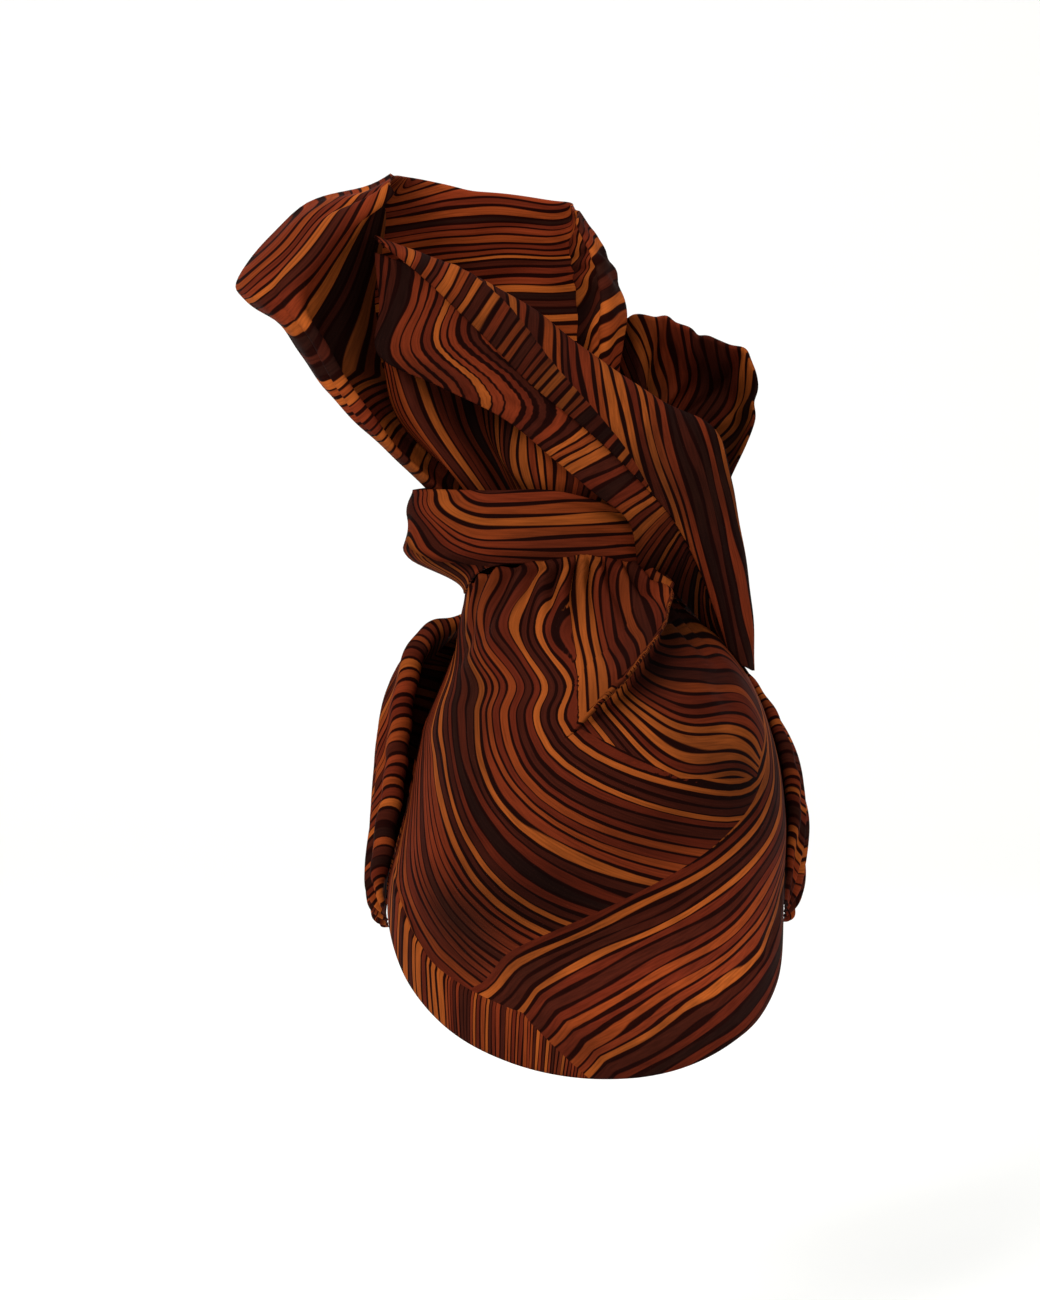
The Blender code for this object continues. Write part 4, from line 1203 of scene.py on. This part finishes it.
# folds of the bow's cloths: the foot on the bundle, then points up to the rim, all in shares
LOOP_FOLDS = {
    "inner_edge": ((-0.74, 0.28), (-0.31, 0.22, 0.25), (-0.35, 0.26, 0.55), (-0.34, 0.20, 0.82)),
    "inner_turn": ((-0.82, 0.04), (-0.35, -0.02, 0.26), (-0.42, 0.00, 0.58), (-0.33, -0.02, 0.92)),
    "ridge": ((-0.90, -0.28), (-0.39, -0.24, 0.28), (-0.51, -0.24, 0.66), (-0.32, -0.14, 0.97)),
    "left_outline": ((-0.99, 0.06), (-0.44, 0.00, 0.33), (-0.61, 0.00, 0.68), (-0.32, 0.04, 1.00)),
    "front_left": ((-0.82, 0.50), (-0.35, 0.38, 0.29), (-0.47, 0.42, 0.65), (-0.29, 0.30, 1.01)),
    "front_middle": ((-0.40, 0.90), (-0.16, 0.54, 0.32), (-0.18, 0.58, 0.67), (-0.16, 0.40, 0.98)),
    "front_right": ((0.02, 0.96), (0.01, 0.46, 0.32), (0.00, 0.44, 0.66), (0.01, 0.28, 0.93)),
    "roll_back": ((0.34, 0.76), (0.11, 0.24, 0.29), (0.12, 0.16, 0.60), (0.04, 0.12, 0.90)),
    "roll_face": ((0.30, 0.10), (0.09, -0.04, 0.30), (0.09, -0.10, 0.65), (0.04, -0.04, 0.86)),
    "roll_inner": ((0.12, 0.36), (0.04, 0.12, 0.32), (0.04, 0.10, 0.62), (0.03, 0.12, 0.80)),
}

LOBE_FOLDS = {
    "behind_roll": ((0.50, 0.74), (0.12, 0.38, 0.22), (0.11, 0.36, 0.38), (0.11, 0.32, 0.48)),
    "beside_roll": ((0.58, 0.54), (0.16, 0.24, 0.24), (0.16, 0.20, 0.42), (0.15, 0.06, 0.56)),
    "first_fold": ((0.61, 0.48), (0.18, 0.30, 0.20), (0.20, 0.30, 0.38), (0.22, 0.03, 0.54)),
    "top": ((0.66, 0.36), (0.21, 0.32, 0.19), (0.28, 0.36, 0.34), (0.30, 0.02, 0.49)),
    "corner": ((0.70, 0.22), (0.25, 0.34, 0.15), (0.35, 0.34, 0.29), (0.38, -0.02, 0.41)),
    "side": ((0.74, 0.08), (0.26, 0.30, 0.10), (0.36, 0.30, 0.19), (0.39, 0.00, 0.24)),
    "bottom": ((0.78, -0.04), (0.25, 0.22, 0.00), (0.32, 0.22, 0.02), (0.34, 0.04, 0.03)),
}

PANEL_FOLDS = {
    "left_edge": ((-0.66, -0.06), (-0.30, 0.02, 0.22), (-0.34, -0.02, 0.46)),
    "left_pleat": ((-0.72, -0.50), (-0.27, -0.20, 0.22), (-0.30, -0.16, 0.41)),
    "hollow": ((-0.52, -0.56), (-0.20, -0.10, 0.19), (-0.23, -0.02, 0.35)),
    "hollow_end": ((-0.36, -0.48), (-0.14, -0.04, 0.16), (-0.16, 0.04, 0.29)),
    "second_pleat": ((-0.22, -0.90), (-0.08, -0.24, 0.10), (-0.08, -0.18, 0.23)),
    "flat": ((0.02, -0.96), (0.00, -0.30, 0.07), (-0.02, -0.28, 0.16)),
    "right_edge": ((0.26, -0.88), (0.07, -0.30, 0.02), (0.07, -0.32, 0.05)),
    "tuck": ((0.50, -0.78), (0.14, -0.27, -0.03), (0.15, -0.28, -0.01)),
}

# stations along the sashes: the lower and the upper edge, or the lower edge alone
SASH_UPPER_FOLDS = {
    "tip": ((-0.33, -0.16, 0.78), (-0.35, -0.10, 0.81)),
    "tip_spread": ((-0.25, -0.24, 0.67), (-0.21, -0.18, 0.72)),
    "upper_run": ((-0.15, -0.31, 0.51), (-0.07, -0.22, 0.60)),
    "middle": ((-0.05, -0.37, 0.34), (0.06, -0.26, 0.44)),
    "lower_run": ((0.05, -0.42, 0.20), (0.19, -0.28, 0.29)),
    "shoulder": ((0.14, -0.47, 0.06), (0.30, -0.28, 0.19)),
    "bend": ((0.21, -0.48, -0.06), (0.335, -0.26, 0.02)),
    "tail_top": ((0.26, -0.42, -0.20), (0.36, -0.22, -0.19)),
    "tail": ((0.30, -0.30, -0.36), (0.38, -0.16, -0.40)),
    "tail_tip": ((0.34, -0.20, -0.55), (0.385, -0.12, -0.59)),
}

SASH_LOWER_EDGE = {
    "tip": (-0.35, -0.13, 0.76),
    "left_side": (-0.34, -0.19, 0.59),
    "left_corner": (-0.34, -0.24, 0.43),
    "upper_run": (-0.22, -0.30, 0.33),
    "middle": (-0.10, -0.36, 0.23),
    "lower_run": (-0.01, -0.41, 0.11),
    "right_run": (0.07, -0.45, 0.00),
    "tuck": (0.14, -0.42, -0.10),
    "tuck_down": (0.165, -0.30, -0.29),
    "under_tail": (0.225, -0.15, -0.41),
    "slope": (0.295, -0.12, -0.53),
    "slope_end": (0.375, -0.13, -0.60),
}


@dataclass
class Studio:
    """A pale sweep, soft lights and the camera behind the wrap."""

    aim: tuple = (-37.6 * MM, 0.0, 7 * MM)
    distance: float = 1.6
    elevation: float = 5.0
    frame_height: float = 611 * MM
    floor: float = -0.34
    sweep_back: float = 1.6
    sweep_front: float = 2.6
    sweep_wall: float = 3.0
    sweep_radius: float = 0.9
    sweep_width: float = 8.0
    # name, place, size in metres, power
    lights: tuple = (
        ("key", (-1.3, -1.7, 1.4), 1.0, 42),
        ("fill", (1.5, -1.7, 0.3), 1.6, 7),
        ("top", (0.1, 0.4, 2.0), 1.6, 20),
    )
    surround: float = 0.72
    sensor: float = 24.0

    def build(self) -> None:
        """Add the sweep, the lights, the world and the camera."""
        self.add_sweep()
        for light in self.lights:
            self.add_light(*light)
        world = bpy.data.worlds.new("studio")
        bpy.context.scene.world = world
        world.use_nodes = True
        world.node_tree.nodes["Background"].inputs[0].default_value = (1.0, 1.0, 1.0, 1.0)
        world.node_tree.nodes["Background"].inputs[1].default_value = self.surround
        bpy.context.scene.view_settings.view_transform = "Standard"
        self.add_camera()

    def add_sweep(self) -> None:
        """Add the floor that curves up behind."""
        bpy.ops.object.select_all(action="DESELECT")
        bpy.ops.mesh.primitive_grid_add(x_subdivisions=2, y_subdivisions=60, size=1.0)
        sweep = bpy.context.object
        sweep.name = "floor_sweep"
        span = self.sweep_back + self.sweep_front
        for vertex in sweep.data.vertices:
            reach = (vertex.co.y + 0.5) * (span + self.sweep_wall)
            past = reach - span
            angle = min(max(past, 0.0) / self.sweep_radius, math.pi / 2)
            climb = max(past - math.pi / 2 * self.sweep_radius, 0.0)
            vertex.co = Vector((
                vertex.co.x * self.sweep_width,
                min(reach, span) - self.sweep_front + self.sweep_radius * math.sin(angle),
                self.floor + self.sweep_radius * (1 - math.cos(angle)) + climb,
            ))
        paper = bpy.data.materials.new("matt_white_paper")
        paper.use_nodes = True
        shader = paper.node_tree.nodes["Principled BSDF"]
        shader.inputs["Base Color"].default_value = linear("#F4F4F2")
        shader.inputs["Roughness"].default_value = 0.9
        sweep.data.materials.append(paper)
        sweep.data.shade_smooth()

    def add_light(self, name: str, place: tuple, size: float, power: float) -> None:
        """Add one soft light that looks at the wrap."""
        light = bpy.data.lights.new(name, "AREA")
        light.size = size
        light.energy = power
        lamp = add_object(name, light)
        lamp.location = place
        lamp.rotation_euler = (Vector(self.aim) - Vector(place)).to_track_quat("-Z", "Y").to_euler()

    def add_camera(self) -> None:
        """Add the camera at the photograph's angle."""
        lens = bpy.data.cameras.new("camera")
        lens.sensor_fit = "VERTICAL"
        lens.sensor_height = self.sensor
        lens.lens = self.sensor / 2 / (self.frame_height / 2 / self.distance)
        camera = add_object("camera", lens)
        tilt = math.radians(self.elevation)
        aim = Vector(self.aim)
        camera.location = aim + Vector((0.0, -math.cos(tilt), math.sin(tilt))) * self.distance
        camera.rotation_euler = (aim - camera.location).to_track_quat("-Z", "Y").to_euler()
        bpy.context.scene.camera = camera


def main() -> None:
    """Build the studio, then build and dress every piece."""
    logging.basicConfig(level=logging.INFO)
    Studio().build()
    form = CapForm()
    knot = KnotForm()
    upper = UpperSash(
        knot, "sash_upper_cloth", SASH_UPPER_FOLDS, 200, 26, 0.0, 0.8 * MM, seed=8,
        slants=((0.0, 40.0), (0.2, 46.0), (0.4, 56.0), (0.6, 68.0), (0.75, 80.0), (1.0, 84.0)),
        painted_light_and_shade=((0.0, 0.8), (0.3, 0.7), (0.6, 0.65), (0.8, 0.75), (1.0, 0.8)),
    )
    lower = LowerSash(
        knot, "sash_lower_cloth", SASH_LOWER_EDGE, 180, 26, 1.5, 0.8 * MM, seed=4, upper=upper,
        slants=((0.0, 80.0), (0.25, 60.0), (0.42, 20.0), (0.7, 10.0), (1.0, 60.0)),
        # painted shade where the strip runs under the tail
        painted_light_and_shade=((0.0, 0.65), (0.3, 0.75), (0.6, 0.8), (0.72, 0.35), (1.0, 0.3)),
    )
    loop = BowCloth(
        knot, "bow_loop_cloth", LOOP_FOLDS, 300, 70, 5, 2.2 * MM, seed=2, evened=0.85, fan=1.2,
        slants=((0.0, 75.0), (0.2, 75.0), (0.35, 95.0), (0.65, 88.0), (0.75, 50.0), (1.0, 30.0)),
        creases=(
            (0.215, 0.20, 0.15, 0.95, 0.022, 3.5), (0.245, 0.25, 0.2, 0.9, 0.014, -2.5),
            (0.30, 0.36, 0.25, 1.1, 0.018, 2.0), (0.17, 0.12, 0.1, 0.9, 0.02, -2.5),
            (0.60, 0.55, 0.2, 1.1, 0.03, -3.0), (0.70, 0.68, 0.3, 1.1, 0.02, 2.5),
            (0.84, 0.80, 0.1, 0.9, 0.02, 3.0), (0.90, 0.92, 0.2, 1.1, 0.015, -2.0),
        ),
        # painted light on the inside of the loop's front wall where above 1, painted shade at its inner edge
        # and at the end of its roll
        painted_light_and_shade=(
            (0.0, 0.6), (0.14, 0.6), (0.2, 0.9), (0.35, 1.1), (0.45, 1.35),
            (0.6, 1.5), (0.72, 1.3), (0.82, 1.1), (0.93, 1.1), (1.0, 0.5),
        ),
        bulges=(
            (0.33, 0.84, 0.12, 0.09, 0, 9), (0.33, 0.67, 0.06, 0.05, -3, -3), (0.33, 0.50, 0.12, 0.08, 6, 4),
        ),
    )
    lobe = BowCloth(
        knot, "right_lobe_cloth", LOBE_FOLDS, 130, 50, 2.5, 1.2 * MM, seed=6, evened=0.5,
        slants=((0.0, 14.0), (1.0, 14.0)),
        creases=(
            (0.30, 0.32, 0.1, 1.1, 0.03, 3.0), (0.42, 0.46, 0.1, 1.1, 0.025, -2.5),
            (0.56, 0.62, 0.1, 1.1, 0.03, 2.5), (0.75, 0.80, 0.1, 1.0, 0.03, -2.0),
        ),
        # painted shade towards the lobe's corner, side and bottom
        painted_light_and_shade=((0.0, 0.8), (0.4, 1.0), (0.7, 0.6), (0.85, 0.35), (1.0, 0.3)),
    )
    panel = BowCloth(
        knot, "inner_panel_cloth", PANEL_FOLDS, 130, 36, 3, 1.2 * MM, seed=7,
        slants=((0.0, 8.0), (1.0, -10.0)),
        # painted shade in the panel's hollow
        painted_light_and_shade=((0.0, 0.95), (0.2, 0.8), (0.4, 0.3), (0.55, 0.45), (0.7, 0.8), (1.0, 0.8)),
    )
    cap = BackCap(form, knot)
    # pitch in mm, offset and wave of each print
    prints = {
        "cap": (4.1, 0.0, 0.65), "band": (4.4, 0.31, 0.65), "wrap": (4.3, 0.53, 0.8),
        "loop": (4.5, 0.77, 0.65), "lobe": (4.4, 1.13, 0.65), "panel": (4.4, 1.41, 0.65),
        "sash": (4.6, 1.73, 0.65), "sash_lower": (4.5, 2.09, 0.65),
    }
    plan = (
        (cap.build, "back_cap", Held.GATHERED, ["front_band_cloth", "topknot_wrap_cloth"], "cap"),
        (cap.build_lapel, "back_cap", Held.FOLDED, ["back_cap_cloth"], "cap"),
        (FrontBand(form).build, "front_band", Held.FOLDED, ["back_cap_cloth"], "band"),
        (KnotWrap(knot).build, "topknot_wrap", Held.FOLDED, ["knot_core_cloth"], "wrap"),
        (loop.build, "bow_loop", Held.FOLDED, ["knot_core_cloth"], "loop"),
        (lobe.build, "right_lobe", Held.FOLDED, ["knot_core_cloth"], "lobe"),
        (panel.build, "inner_panel", Held.FOLDED, ["knot_core_cloth"], "panel"),
        (upper.build, "sash_upper", Held.FOLDED, ["sash_lower_cloth", "back_cap_cloth"], "sash"),
        (lower.build, "sash_lower", Held.FOLDED, ["sash_upper_cloth"], "sash_lower"),
    )
    core = KnotCore(knot).build()
    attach(core, "root")
    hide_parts("knot_core")
    made = []
    for maker, node, held, rests_on, look in plan:
        sheet = maker()
        pitch, offset, wave = prints[look]
        finish = PrintedCotton(f"printed_cotton_{look}", pitch=pitch * MM, offset=offset, wave=wave)
        made.append((sheet.make(finish), node, held, rests_on, sheet.grid))
    for piece, node, held, rests_on, grid in made:
        declare(piece, node, grid)


if __name__ == "__main__":
    main()
